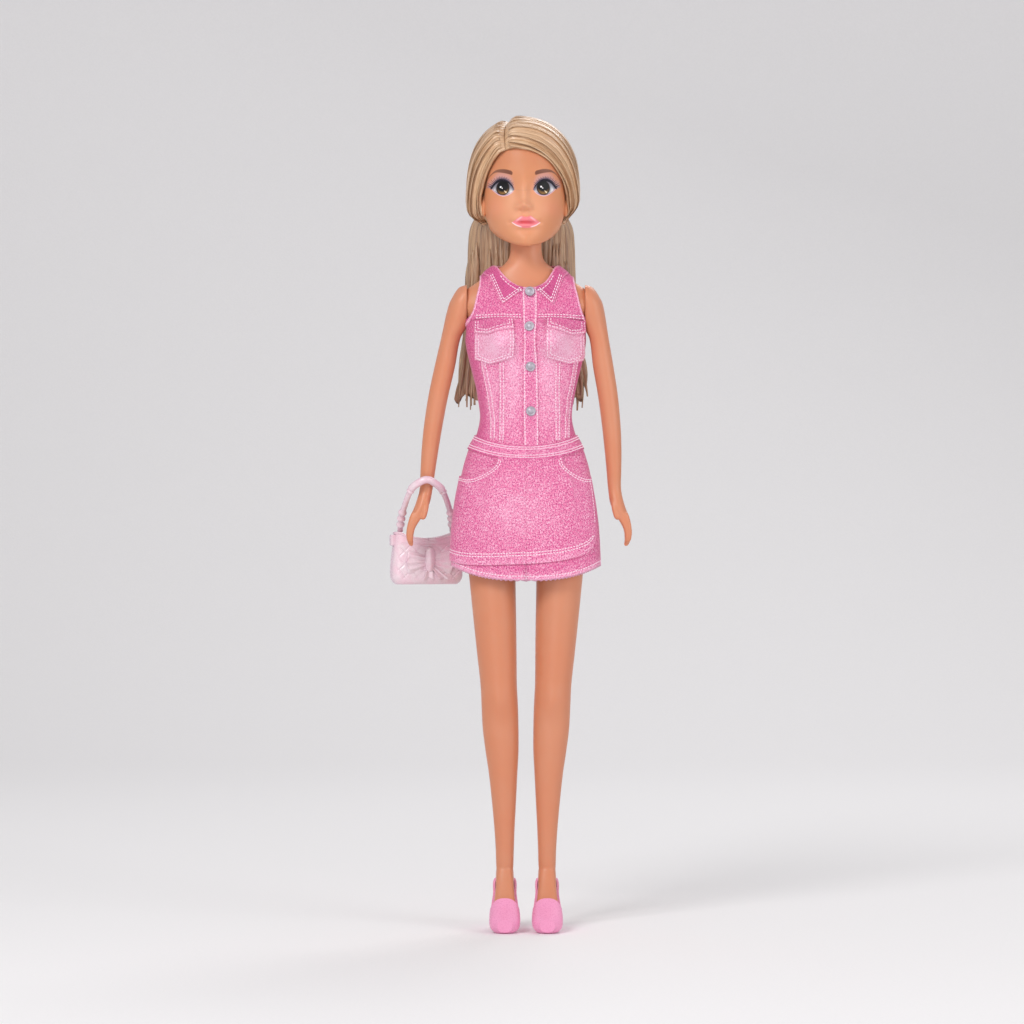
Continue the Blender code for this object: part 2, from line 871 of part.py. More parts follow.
def make_head(neck):
    head = closed_loft("head", head_point, 24, steps(18), 0.0, skin, neck)
    hollow_rows = [0.03 + 0.91 * share for share in steps(8)]
    combine(head, closed_loft("head_hollow", head_point, 12, hollow_rows, -head_wall, None, neck))
    hole_low = (0, neck_axis_y, neck_top_height - overrun / 2)
    hole_high = (0, neck_axis_y, seat_height + head_wall + part_gap)
    combine(head, rod("neck_hole", hole_low, hole_high, knob_neck_radius + joint_gap, neck))


hair_rows = []
for share in hair_shares:
    hair_rows.append((
        hair_low + share[0] * (hair_top - hair_low),
        share[1] * hair_half_width,
        share[2] * hair_front,
        share[3] * hair_back_reach,
    ))


def hair_point(u, v):
    angle = 2 * math.pi * u
    height = hair_low + v * (hair_top - hair_low)
    half_width, front, back = row_at(hair_rows, height)
    facing = math.cos(angle)
    return Vector((half_width * math.sin(angle), -(front if facing > 0 else back) * facing, height))


def make_side_hair(neck):
    head_space = closed_loft("head_space", head_point, 20, steps(14), 2 * joint_gap, None, neck)
    face_low = hair_low - part_gap
    outline = []
    for across, rise in face_opening_shares:
        outline.append((across * face_opening_half_width, face_low + rise * (face_opening_top - face_low)))
    window = prism("face_opening", outline, 1, -hair_front - overrun, -part_gap, neck)
    neck_outline = []
    for index in range(20):
        angle = 2 * math.pi * index / 20
        middle = (hair_neck_back - hair_front) / 2
        depth = (hair_neck_back + hair_front) / 2
        neck_outline.append((hair_neck_half_width * math.cos(angle), middle + depth * math.sin(angle)))
    neck_space = prism("neck_space", neck_outline, 2, hair_low - overrun, hair_neck_top, neck)
    far = hair_half_width + overrun
    rows = [share[0] for share in hair_shares]
    rows = sorted(rows + [(low + high) / 2 for low, high in zip(rows[:-3], rows[1:-2])])
    for side, sign in (("left", 1), ("right", -1)):
        shift = -sign * part_gap / 2
        plane = [
            (parting_offset - shift, -face_depth - overrun),
            (parting_offset - shift, -face_depth),
            (-shift, hair_back_reach),
            (-shift, hair_back_reach + overrun),
            (-sign * far, hair_back_reach + overrun),
            (-sign * far, -face_depth - overrun),
        ]
        other_side = prism("beyond_parting_" + side, plane, 2, hair_low - overrun, hair_top + overrun, neck)
        hair = closed_loft("hair_" + side, hair_point, 20, rows, 0.0, hair_blonde, neck)
        for tool in (head_space, window, neck_space, other_side):
            combine(hair, tool)


def make_back_hair(neck):
    """Long flat fall of hair behind the shoulders."""
    low = hair_low - part_gap - hair_fall_length
    rows = []
    for share in hair_back_shares:
        rows.append((
            share[0],
            share[1] * hair_half_width * hair_fall_half_width_share,
            share[2] * hair_fall_front,
            share[3] * hair_fall_thickness,
        ))

    def surface(u, v):
        angle = 2 * math.pi * u
        half_width, front, thickness = row_at(rows, 1 - v)
        side = math.copysign(abs(math.sin(angle)) ** 0.6, math.sin(angle))
        facing = math.copysign(abs(math.cos(angle)) ** 0.6, math.cos(angle))
        depth = front + thickness / 2 - facing * thickness / 2
        return Vector((half_width * side, depth, low + v * hair_fall_length))

    closed_loft("hair_back", surface, 16, steps(6), 0.0, hair_blonde, neck)


# Arms and legs


def make_arm(side, sign, splay, shoulder):
    plane = shoulder_half_width + joint_gap
    rows = []
    for drop, reach, half_width, half_depth, forward in arm_shares:
        rows.append((
            drop,
            plane + reach * arm_reach + max(0.0, drop) * arm_length * splay,
            half_width * arm_radius,
            half_depth * arm_radius,
            forward * hand_forward,
        ))
    low_share = -arm_shares[0][0]

    def surface(u, v):
        drop = 1 - v * (1 + low_share)
        middle, half_width, half_depth, forward = row_at(rows, drop)
        angle = 2 * math.pi * u
        across = middle + half_width * math.sin(angle)
        depth = -forward - half_depth * math.cos(angle)
        return Vector((sign * across, depth, shoulder_height - drop * arm_length))

    ring_shares = [(1 - row[0]) / (1 + low_share) for row in reversed(rows)]
    arm = closed_loft("arm_" + side, surface, 12, ring_shares, 0.0, skin, shoulder)
    high = shoulder_height + overrun
    inner = sign * plane
    centre = sign * crotch_half_width
    corner = (min(inner, centre), -overrun, shoulder_height - arm_length / 3)
    far = (max(inner, centre), overrun, high)
    combine(arm, block("arm_face_" + side, corner, far, shoulder))
    knob_start = shoulder_half_width - shoulder_wall - joint_gap
    shaft = rod(
        "arm_shaft_" + side,
        (sign * (knob_start - arm_knob_length / 2), 0, shoulder_height),
        (sign * (plane + arm_radius), 0, shoulder_height),
        arm_knob_shaft_radius,
        shoulder,
    )
    knob = rod(
        "arm_knob_" + side,
        (sign * (knob_start - arm_knob_length), 0, shoulder_height),
        (sign * knob_start, 0, shoulder_height),
        arm_knob_radius,
        shoulder,
    )
    combine(arm, shaft, "UNION")
    combine(arm, knob, "UNION")
    combine(arm, make_thumb(side, sign, rows, shoulder), "UNION")


def make_thumb(side, sign, rows, shoulder):
    """Thumb that leaves the palm in front, on its inner side."""
    start_drop = 0.80
    middle, half_width, half_depth, forward = row_at(rows, start_drop)
    start = Vector((sign * middle, -forward - half_depth * 0.35, shoulder_height - start_drop * arm_length))
    lean = Vector((sign * half_width * 0.15, -half_depth * 0.75, -thumb_length))

    def surface(u, v):
        angle = 2 * math.pi * u
        radius = thumb_radius * (1.15 - 0.55 * v ** 3)
        centre = start + lean * v
        return centre + Vector((radius * math.sin(angle), -radius * math.cos(angle), 0))

    return closed_loft("thumb_" + side, surface, 8, steps(5), 0.0, None, shoulder)


def foot_point(u, v):
    """Point on the foot of the left leg, with v from heel to toe."""
    half_width, low, high = row_at(foot_shares, v)
    angle = 2 * math.pi * u
    side = math.copysign(abs(math.sin(angle)) ** ring_power_share, math.sin(angle))
    rise = -math.copysign(abs(math.cos(angle)) ** ring_power_share, math.cos(angle))
    across = leg_spacing * leg_shares[0][1] + half_width * foot_half_width * side
    height = ankle_height * ((low + high) / 2 + rise * (high - low) / 2)
    return Vector((across, heel_back - v * foot_length, height))


def leg_rows():
    rows = []
    for height, spacing, half_width, front, back in leg_shares:
        rows.append((
            height * hip_height,
            spacing * leg_spacing,
            half_width * thigh_half_width,
            front * hip_radius,
            back * hip_radius,
        ))
    for turn, width in leg_top_shares:
        angle = turn * math.pi / 2
        depth = hip_radius * math.cos(angle)
        height = hip_height + hip_radius * math.sin(angle)
        rows.append((height, leg_spacing, width * thigh_half_width, depth, depth))
    return rows


def sided(surface, sign):
    """Mirror a left-hand surface to the side asked for."""

    def mirrored(u, v):
        point = surface(u, v)
        return Vector((sign * point.x, point.y, point.z))

    return mirrored


def make_leg(side, sign, hip):
    rows = leg_rows()
    low = rows[0][0]
    high = rows[-1][0]

    def surface(u, v):
        height = low + v * (high - low)
        middle, half_width, front, back = row_at(rows, height)
        angle = 2 * math.pi * u
        facing = math.cos(angle)
        depth = -(front if facing > 0 else back) * facing
        return Vector((middle + half_width * math.sin(angle), depth, height))

    ring_shares = [(row[0] - low) / (high - low) for row in rows]
    leg = closed_loft("leg_" + side, sided(surface, sign), 14, ring_shares, 0.0, skin, hip)
    foot = closed_loft("foot_" + side, foot_side(sign), 10, steps(8), 0.0, None, hip)
    combine(leg, foot, "UNION")
    bore_end = (sign * (pin_half_length + part_gap), 0, hip_height)
    bore = rod("leg_bore_" + side, (0, 0, hip_height), bore_end, pin_radius + joint_gap, hip)
    combine(leg, bore)


def make_shoe(side, sign, hip):
    """Open slip-on shoe round the foot, with a thin heel."""
    shoe = closed_loft(
        "shoe_" + side, foot_side(sign), 10, steps(8), joint_gap + shoe_wall, shoe_plastic, hip
    )
    profile = [
        (0.0, heel_height),
        (heel_top_radius, heel_height),
        (heel_tip_radius * 1.05, heel_height * 0.45),
        (heel_tip_radius, -part_gap),
        (0.0, -part_gap),
    ]
    place = Matrix.Translation((sign * leg_spacing * leg_shares[0][1], heel_position, 0))
    heel = turned("heel_" + side, profile, None, hip, 12, place)
    combine(shoe, heel, "UNION")
    foot_space = closed_loft(
        "foot_space_" + side, foot_side(sign), 10, steps(8), joint_gap, None, hip
    )
    edge = []
    for along, rise in shoe_edge_shares:
        edge.append((heel_back - along * foot_length, rise * ankle_height))
    edge.append((heel_back - shoe_edge_shares[0][0] * foot_length, shoe_edge_shares[-1][1] * ankle_height))
    across = sign * leg_spacing * leg_shares[0][1]
    half = foot_half_width + overrun / 4
    above = prism("shoe_opening_" + side, edge, 0, across - half, across + half, hip)
    ground = block(
        "ground_" + side, (across - half, -foot_length - overrun, -overrun), (across + half, overrun, 0), hip
    )
    combine(shoe, foot_space)
    combine(shoe, above)
    combine(shoe, ground)


def foot_side(sign):
    """Foot surface of one side, with its columns running so that its normal points out."""

    def surface(u, v):
        point = foot_point(sign * u, v)
        return Vector((sign * point.x, point.y, point.z))

    return surface


# Dress


def bodice_place(share):
    """Height on the bodice, given as a share of the way from the waistband's top to the bodice's top."""
    return band_top + share * (bodice_top - band_top)


def band_height(angle, share):
    """Height on the waistband, from its lower edge at share 0 to its upper edge at share 1."""
    dip = band_dip * math.cos(angle) ** 2
    return band_bottom + share * (band_top - band_bottom) - dip


def make_bodice(root):
    def surface(u, v):
        angle = 2 * math.pi * u
        low = band_height(angle, 0.5) + part_gap / 2
        return torso_point(angle, low + v * (bodice_top - low), bust_ease)

    bodice = cloth_patch("bodice", surface, 32, 15, dress_lift, cloth, denim, root, True)
    reach = chest_depth + bust_reach + overrun
    armhole_low = bodice_place(armhole_low_share)
    rise = bodice_top - armhole_low
    for side, sign in (("left", 1), ("right", -1)):
        far = sign * (shoulder_half_width + overrun)
        outline = [(far, bodice_top + overrun)]
        top_half_width = sign * armhole_top_half_width
        outline.append((top_half_width, bodice_top + overrun))
        for height, widening in armhole_shares:
            width = armhole_top_half_width + widening * (armhole_low_half_width - armhole_top_half_width)
            outline.append((sign * width, armhole_low + height * rise))
        outline.append((far, armhole_low))
        combine(bodice, prism("armhole_" + side, outline, 1, -reach, reach, root))
    neckline_low = bodice_place(neckline_low_share)
    neckline = [(neckline_half_width, bodice_top + overrun), (-neckline_half_width, bodice_top + overrun)]
    for across, height in neckline_shares:
        rise_here = neckline_low + height * (bodice_top - neckline_low)
        neckline.append((across * neckline_half_width, rise_here))
    combine(bodice, prism("neckline", neckline, 1, -reach, -part_gap, root))


def make_waistband(root):
    def surface(u, v):
        angle = 2 * math.pi * u
        return torso_point(angle, band_height(angle, v))

    cloth_patch("waistband", surface, 28, 2, over_dress, trim, denim_trim, root, True)


def skirt_rows():
    """Half width, front and back of the skirt's inner face; it hugs the hips and flares to the hem."""
    rows = [(skirt_hem_height - skirt_hem_dip, skirt_hem_half_width, skirt_hem_front, skirt_hem_back, 1.0)]
    for share, half_width, front, back, square in skirt_shares:
        rows.append((
            skirt_hem_height + share * (skirt_hug_height - skirt_hem_height),
            half_width * skirt_hem_half_width,
            front * skirt_hem_front,
            back * skirt_hem_back,
            square,
        ))
    top = band_top + overrun / 4
    for index in range(5):
        height = skirt_hug_height + index * (top - skirt_hug_height) / 4
        half_width, front, back = row_at(torso_rows, height)
        rows.append((height, half_width + dress_lift, front + dress_lift, back + dress_lift, 0.0))
    return rows


skirt_table = skirt_rows()


def skirt_point(angle, height):
    half_width, front, back, square = row_at(skirt_table, height)
    power = 1 - skirt_corner_share * square
    across = math.copysign(abs(math.sin(angle)) ** power, math.sin(angle))
    facing = math.copysign(abs(math.cos(angle)) ** power, math.cos(angle))
    return Vector((half_width * across, -(front if facing > 0 else back) * facing, height))


def hem_height(angle):
    return skirt_hem_height - skirt_hem_dip * math.cos(angle) ** 2


def make_skirt(root):
    def surface(u, v):
        angle = 2 * math.pi * u
        low = hem_height(angle)
        return skirt_point(angle, low + v * (band_height(angle, 0.5) - part_gap / 2 - low))

    cloth_patch("skirt", surface, 28, 6, 0.0, cloth, denim, root, True)


def make_skirt_overlap(root):
    """Wrapped front panel; its upper edge drops round the two pocket cut-outs."""
    start = -math.radians(88)
    end = math.radians(74)
    pocket_start = math.radians(34)
    pocket_run = math.radians(34)

    def surface(u, v):
        angle = start + u * (end - start)
        edge = band_height(angle, 0.0) - part_gap
        inside = min(1.0, max(0.0, (abs(angle) - pocket_start) / pocket_run))
        edge -= overlap_pocket_depth * (1 - (1 - inside) ** 2) ** 0.5
        low = hem_height(angle) + overlap_hem_rise * (0.35 + 0.65 * min(1.0, 3 * u))
        low += overlap_hem_rise * max(0.0, (u - 0.75) / 0.25) ** 2
        return skirt_point(angle, low + v * (edge - low))

    cloth_patch("skirt_overlap", surface, 14, 5, cloth + trim_gap, trim, denim, root)


def bodice_trim(name, corners, columns, rows, lift, material, root):
    """Thin piece on the front of the bodice, stretched between four corners of across and height."""
    low_start, low_end, high_start, high_end = corners

    def surface(u, v):
        low = [a + (b - a) * u for a, b in zip(low_start, low_end)]
        high = [a + (b - a) * u for a, b in zip(high_start, high_end)]
        across, height = [a + (b - a) * v for a, b in zip(low, high)]
        return torso_front_point(across, height)

    return cloth_patch(name, surface, columns, rows, lift, trim, material, root)


def make_bodice_trims(root):
    low = band_height(0.0, 1.0) + part_gap
    start = placket_offset - placket_half_width
    end = placket_offset + placket_half_width
    high = bodice_place(placket_top_share)
    corners = ((start, low), (end, low), (start, high), (end, high))
    bodice_trim("placket", corners, 2, 12, over_dress, denim_trim, root)
    near = placket_half_width + part_gap
    low = bodice_place(neckline_low_share)
    point = bodice_place(collar_point_share)
    outer = bodice_place(collar_outer_share)
    top = bodice_place(collar_top_share)
    corners = (
        (placket_offset - collar_point_reach, point),
        (placket_offset - near, low),
        (-collar_outer_reach, outer),
        (-collar_top_reach, top),
    )
    bodice_trim("collar_right", corners, 4, 6, over_dress, denim_trim, root)
    corners = (
        (placket_offset + near, low),
        (placket_offset + collar_point_reach, point),
        (collar_top_reach, top),
        (collar_outer_reach, outer),
    )
    bodice_trim("collar_left", corners, 4, 6, over_dress, denim_trim, root)
    for side, sign in (("left", 1), ("right", -1)):
        make_chest_pocket(side, sign, root)


def make_chest_pocket(side, sign, root):
    start, end = sorted((placket_offset + sign * pocket_inner, sign * pocket_outer))
    flap_top = bodice_place(flap_top_share)

    def flap(u, v):
        across = start + u * (end - start)
        point = flap_point * (1 - abs(2 * u - 1))
        low = flap_top - flap_drop - point
        return torso_front_point(across, low + v * (flap_top - low))

    def pocket(u, v):
        across = start + u * (end - start)
        point = flap_point * (1 - abs(2 * u - 1))
        high = flap_top - flap_drop - point - part_gap
        return torso_front_point(across, high - pocket_drop * (1 - v))

    cloth_patch("pocket_flap_" + side, flap, 6, 3, over_dress, trim, denim_trim, root)
    cloth_patch("pocket_" + side, pocket, 6, 5, over_dress, trim, denim_trim, root)


def make_buttons(root):
    for index, share in enumerate(button_shares):
        height = bodice_place(share)

        def surface(u, v, height=height):
            across = placket_offset + (u - 0.5) * button_radius
            return torso_front_point(across, height + (v - 0.5) * button_radius)

        base = lifted(surface, 0.5, 0.5, over_dress + trim + part_gap)
        normal = (base - surface(0.5, 0.5)).normalized()
        place = Matrix.Translation(base) @ normal.to_track_quat("Z", "Y").to_matrix().to_4x4()
        profile = [
            (0.0, button_rise),
            (button_radius * 0.6, button_rise * 0.86),
            (button_radius * 0.9, button_rise * 0.5),
            (button_radius, button_rise * 0.15),
            (button_radius, 0.0),
            (0.0, 0.0),
        ]
        turned("button_" + str(index + 1), profile, button_metal, root, 12, place)


def make_back_closure(root):
    def surface(u, v):
        height = bodice_place(closure_low_share + v * (closure_high_share - closure_low_share))
        half_width = row_at(torso_rows, height)[0]
        swing = math.asin(closure_half_width / half_width)
        return torso_point(math.pi + (2 * u - 1) * swing, height)

    cloth_patch("back_closure", surface, 2, 8, over_dress, trim, denim_trim, root)


# Handbag

bag_way = Vector((math.cos(bag_turn), math.sin(bag_turn), 0))
bag_side = Vector((-math.sin(bag_turn), math.cos(bag_turn), 0))


def bag_place(along, depth, height):
    """Point given along the bag, through it and above the ground."""
    middle = Vector((wrist_contact().x - bag_hang_shift, bag_back, height))
    return middle + bag_way * along + bag_side * depth


def bag_surface(inset):
    def surface(u, v):
        half_length, half_depth = row_at(bag_shares, v)
        angle = 2 * math.pi * u
        along = math.copysign(abs(math.sin(angle)) ** 0.55, math.sin(angle))
        through = -math.copysign(abs(math.cos(angle)) ** 0.55, math.cos(angle))
        length = half_length * bag_half_length - inset
        depth = half_depth * bag_half_depth - inset
        return bag_place(along * length, through * depth, bag_low + inset + v * (bag_height - inset))

    return surface


def make_bag_body(wrist):
    bag = closed_loft("bag_body", bag_surface(0.0), 20, [share[0] for share in bag_shares], 0.0, pearl, wrist)
    rim = bag_low + bag_height
    tab_start = bag_half_length * 0.90
    corners = [(-tab_start - bag_tab_length, -1), (-tab_start + bag_tab_length, 1)]
    outline = []
    for along, way in ((corners[0][0], -1), (corners[1][0], -1), (corners[1][0], 1), (corners[0][0], 1)):
        place = bag_place(along, way * bag_tab_length, 0)
        outline.append((place.x, place.y))
    tab = prism("bag_tab", outline, 2, rim - bag_tab_height, rim - bag_wall, wrist)
    combine(bag, tab, "UNION")
    hollow_rows = [share[0] for share in bag_shares] + [1.2]
    combine(bag, closed_loft("bag_hollow", bag_surface(bag_wall), 20, hollow_rows, 0.0, None, wrist))
    span = bag_half_length * bag_shares[-1][1] - handle_radius * 2
    radius = (span ** 2 + bag_rim_dip ** 2) / (2 * bag_rim_dip)
    height = rim - bag_rim_dip + radius
    deep = bag_half_depth + overrun / 2
    dip = rod("bag_rim_dip", bag_place(0, -deep, height), bag_place(0, deep, height), radius, wrist, 48)
    combine(bag, dip)


def handle_path(share):
    """Point on the handle, from one end of the rim over the wrist to the other end."""
    angle = math.pi * share
    along = -math.cos(angle)
    rise = math.sin(angle)
    base = bag_place(0, 0, bag_low + bag_height + part_gap + handle_radius * 0.75)
    lift = wrist_contact() - base
    return base + bag_way * handle_half_span * along + lift * rise


def wrist_contact():
    """Middle of the grip, just in front of the wrist."""
    rows = [(share[0], share[1], share[3], share[4]) for share in arm_shares]
    reach, half_depth, forward = row_at(rows, wrist_share)
    across = shoulder_half_width + joint_gap + reach * arm_reach + wrist_share * arm_length * arm_splay_right
    depth = forward * hand_forward + half_depth * arm_radius + grip_radius + joint_gap + handle_clearance
    return Vector((-across, -depth, handle_top))


def make_bag_handle(wrist):
    curve = bpy.data.curves.new("bag_handle", "CURVE")
    curve.dimensions = "3D"
    curve.bevel_depth = handle_radius
    curve.bevel_resolution = 2
    curve.use_fill_caps = True
    spline = curve.splines.new("POLY")
    count = 28
    spline.points.add(count)
    shift = parent_place(wrist)
    for index, point in enumerate(spline.points):
        share = index / count
        place = handle_path(share) - shift
        point.co = (*place, 1.0)
        point.radius = handle_thickness(share)
    curve.materials.append(pearl)
    item = bpy.data.objects.new("bag_handle", curve)
    item.parent = wrist
    parts.objects.link(item)


def handle_thickness(share):
    """Thickness along the handle as a share of its own: three beads near each end, a fuller grip on top."""
    from_end = min(share, 1 - share)
    thickness = 1.0
    for bead in bead_shares:
        thickness += (bead_radius / handle_radius - 1) * bump(from_end - bead, bead_spread_share)
    if from_end > grip_start_share:
        thickness = grip_radius / handle_radius
    return thickness


def make_bag_bow(wrist):
    """Flat bow with a round knot, on the front face of the bag."""
    middle = bag_low + bag_height * 0.45
    front = -(bag_half_depth + part_gap)
    quarter = [(x * bow_half_width, z * bow_half_height) for x, z in bow_shares]
    outline = quarter + [(x, -z) for x, z in reversed(quarter[:-1])]
    outline += [(-x, -z) for x, z in quarter[1:]] + [(-x, z) for x, z in reversed(quarter[1:-1])]
    shape = bmesh.new()
    near = [shape.verts.new(bag_place(x, front, middle + z)) for x, z in outline]
    face = shape.faces.new(near)
    grown = bmesh.ops.extrude_face_region(shape, geom=[face])
    moved = [v for v in grown["geom"] if isinstance(v, bmesh.types.BMVert)]
    bmesh.ops.translate(shape, vec=-bag_side * bow_thickness, verts=moved)
    bow = make_object("bag_bow", mesh_from(shape, "bag_bow"), pearl, wrist)
    knot = rod(
        "bow_knot",
        bag_place(0, front, middle),
        bag_place(0, front - bow_thickness * 1.5, middle),
        bow_knot_radius,
        wrist,
        14,
    )
    combine(bow, knot, "UNION")


# Assembly


def frame_shift():
    """Move the doll so that the middle of its overall box lies over the origin."""
    bag_end = bag_hang_shift - wrist_contact().x
    bag_end += bag_half_length * math.cos(bag_turn) + bag_half_depth * math.sin(bag_turn) / 2
    hand_end = shoulder_half_width + joint_gap + arm_reach + arm_radius * 0.33
    return Vector(((bag_end - hand_end) / 2, 0, 0))


def build():
    frame = make_empty("doll_frame", (0, 0, 0))
    frame.location = frame_shift()
    root = make_empty("torso_joint", (0, 0, 0), frame)
    neck = make_empty("neck_joint", (0, neck_axis_y, neck_top_height), root)
    make_torso(root)
    make_neck_knob(root)
    make_hip_pin(root)
    make_head(neck)
    make_side_hair(neck)
    make_back_hair(neck)
    for side, sign, splay in (("left", 1, arm_splay_left), ("right", -1, arm_splay_right)):
        place = (sign * shoulder_half_width, 0, shoulder_height)
        shoulder = make_empty("shoulder_joint_" + side, place, root)
        make_arm(side, sign, splay, shoulder)
        hip = make_empty("hip_joint_" + side, (sign * leg_spacing, 0, hip_height), root)
        make_leg(side, sign, hip)
        make_shoe(side, sign, hip)
    make_bodice(root)
    make_waistband(root)
    make_skirt(root)
    make_skirt_overlap(root)
    make_bodice_trims(root)
    make_buttons(root)
    make_back_closure(root)
    wrist = make_empty("wrist_joint", wrist_contact(), shoulder)
    make_bag_body(wrist)
    make_bag_handle(wrist)
    make_bag_bow(wrist)


build()
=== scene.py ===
# %% [markdown]
# # A fashion doll in a pink shirt dress
# This lesson dresses a plain model of a fashion doll: smooth moulded skin, painted eyes and lips, combed hair,
# a stitched denim dress and a pearly handbag. The plain model gives every place and size, so each piece is
# built where its plain solid stands. Tables of sizes are in millimetres in the doll's own frame, where the
# doll looks along -Y and its middle is at zero.

# %% Load the fixed frame
import functools
import json
import math

import bpy
import numpy as np
from mathutils import Matrix, Vector, noise
from mathutils.bvhtree import BVHTree


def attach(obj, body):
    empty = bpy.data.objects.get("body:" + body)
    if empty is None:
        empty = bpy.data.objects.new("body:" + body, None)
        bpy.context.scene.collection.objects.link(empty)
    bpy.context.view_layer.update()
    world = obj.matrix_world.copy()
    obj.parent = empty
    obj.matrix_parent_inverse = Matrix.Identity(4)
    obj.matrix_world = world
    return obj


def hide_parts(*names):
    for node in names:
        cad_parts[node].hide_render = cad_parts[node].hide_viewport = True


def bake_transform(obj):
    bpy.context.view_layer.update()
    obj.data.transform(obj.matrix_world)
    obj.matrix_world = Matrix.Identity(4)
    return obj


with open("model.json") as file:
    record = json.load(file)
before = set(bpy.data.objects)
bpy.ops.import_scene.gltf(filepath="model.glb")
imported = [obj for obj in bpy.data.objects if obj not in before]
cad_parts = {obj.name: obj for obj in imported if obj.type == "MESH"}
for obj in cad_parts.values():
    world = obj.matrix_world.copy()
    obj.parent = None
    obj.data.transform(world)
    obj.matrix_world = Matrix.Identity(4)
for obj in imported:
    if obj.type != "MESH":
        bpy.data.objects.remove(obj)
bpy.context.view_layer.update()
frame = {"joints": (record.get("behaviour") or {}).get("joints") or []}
joint_place = {joint["name"]: Vector(joint["pos_m"]) for joint in frame["joints"]}
neck_joint = joint_place["neck_turn"]
MM = 0.001
SIDES = (("left", 1), ("right", -1))


def at(x, y, z):
    """Place in the row frame of a point given in millimetres from the doll's own middle."""
    return Vector((neck_joint.x + x * MM, y * MM, z * MM))


# %% [markdown]
# ## Camera, backdrop and light
# The camera stands square in front of the doll at half its height, far enough away for a long lens, so that
# the doll keeps its real outline. A sheet of paper that curves up behind the doll makes a floor and a
# backdrop without a line between them. Four large soft lamps are enough for plastic and cloth: one in front
# and above for form, a weaker one at the other side, a low one that opens the shadows, and one behind that
# sets the hair off from the paper.

# %% Camera
view_width = 0.3686
view_distance = 1.3
aim = Vector((0.0008, 0.0, 0.1498))
camera_data = bpy.data.cameras.new("camera")
camera = bpy.data.objects.new("camera", camera_data)
bpy.context.scene.collection.objects.link(camera)
camera_data.lens = camera_data.sensor_width * view_distance / view_width
camera_data.clip_start = 0.05
camera.location = aim - Vector((0, view_distance, 0))
camera.rotation_euler = (math.radians(90), 0, 0)
bpy.context.scene.camera = camera
bpy.context.scene.view_settings.view_transform = "Standard"
print("lens:", round(camera_data.lens, 1), "mm")

# %% Backdrop
paper_half = 2.2
paper_run = 2.4
paper_back = 0.8
paper_bend = 0.5


def add_primitive(operator, **settings):
    """New primitive, which is then the only piece that is selected."""
    bpy.ops.object.select_all(action="DESELECT")
    operator(**settings)
    return bpy.context.object


backdrop = add_primitive(bpy.ops.mesh.primitive_grid_add, x_subdivisions=2, y_subdivisions=60, size=2)
backdrop.name = "backdrop"
for vertex in backdrop.data.vertices:
    run = (vertex.co.y + 1) * paper_run - paper_half
    angle = min(max((run - paper_back) / paper_bend, 0.0), math.pi / 2)
    beyond = max(run - paper_back - paper_bend * math.pi / 2, 0.0)
    depth = min(run, paper_back) + paper_bend * math.sin(angle)
    vertex.co = (vertex.co.x * paper_half, depth, paper_bend * (1 - math.cos(angle)) + beyond)
backdrop.data.shade_smooth()


# %% Lamps
def add_lamp(name, place, size, power, color=(1, 1, 1)):
    """Square soft lamp that looks at the doll's middle."""
    data = bpy.data.lights.new(name, "AREA")
    data.size = size
    data.energy = power
    data.color = color
    lamp = bpy.data.objects.new(name, data)
    bpy.context.scene.collection.objects.link(lamp)
    lamp.location = place
    lamp.rotation_euler = (aim - Vector(place)).to_track_quat("-Z", "Y").to_euler()


add_lamp("key_lamp", (-0.55, -1.0, 0.95), 0.5, 9.0)
add_lamp("side_lamp", (0.9, -0.7, 0.45), 0.6, 3.5)
add_lamp("low_lamp", (-0.2, -1.1, 0.12), 0.5, 1.6)
add_lamp("back_lamp", (0.3, 0.75, 0.9), 0.5, 3.0)

# %% [markdown]
# ## Helpers for nodes
# A material is a small program of nodes. To keep it readable, a node's output is wrapped as a wire: a sum of
# wires adds the nodes that work it out, so that a mask can be written as a formula. Effects that several
# finishes share are kept as node groups further down.


# %% Wires
class Wire:
    """Value that a node gives out; a sum of wires adds the nodes that work it out."""

    def __init__(self, socket):
        self.socket = socket

    def __add__(self, other):
        return calc("ADD", self, other)

    def __sub__(self, other):
        return calc("SUBTRACT", self, other)

    def __rsub__(self, other):
        return calc("SUBTRACT", other, self)

    def __mul__(self, other):
        return calc("MULTIPLY", self, other)

    def __truediv__(self, other):
        return calc("DIVIDE", self, other)

    def __pow__(self, other):
        return calc("POWER", self, other)

    def __abs__(self):
        return calc("ABSOLUTE", self)

    def fade(self, start, end, low=0.0, high=1.0):
        """Smooth change from low to high while the value goes from start to end."""
        inputs = {"Value": self, "From Min": start, "From Max": end, "To Min": low, "To Max": high}
        node = add_node(tree_of(self), "ShaderNodeMapRange", inputs, interpolation_type="SMOOTHSTEP")
        return Wire(node.outputs["Result"])


def tree_of(*values):
    return next(value.socket.id_data for value in values if isinstance(value, Wire))


def feed(node, inputs):
    """Give a node its inputs: each is a value or a wire."""
    for key, value in dict(inputs).items():
        if isinstance(value, Wire):
            node.id_data.links.new(value.socket, node.inputs[key])
        else:
            node.inputs[key].default_value = value


def add_node(tree, kind, inputs=(), **settings):
    node = tree.nodes.new(kind)
    for key, value in settings.items():
        setattr(node, key, value)
    feed(node, inputs)
    return node


# %% Node helpers
def calc(operation, *values, clamp=False):
    settings = {"operation": operation, "use_clamp": clamp}
    return Wire(add_node(tree_of(*values), "ShaderNodeMath", enumerate(values), **settings).outputs[0])


def mix(factor, first, second, blend="MIX"):
    inputs = {0: factor, 6: first, 7: second}
    settings = {"data_type": "RGBA", "blend_type": blend, "clamp_result": True}
    return Wire(add_node(tree_of(factor, first), "ShaderNodeMix", inputs, **settings).outputs[2])


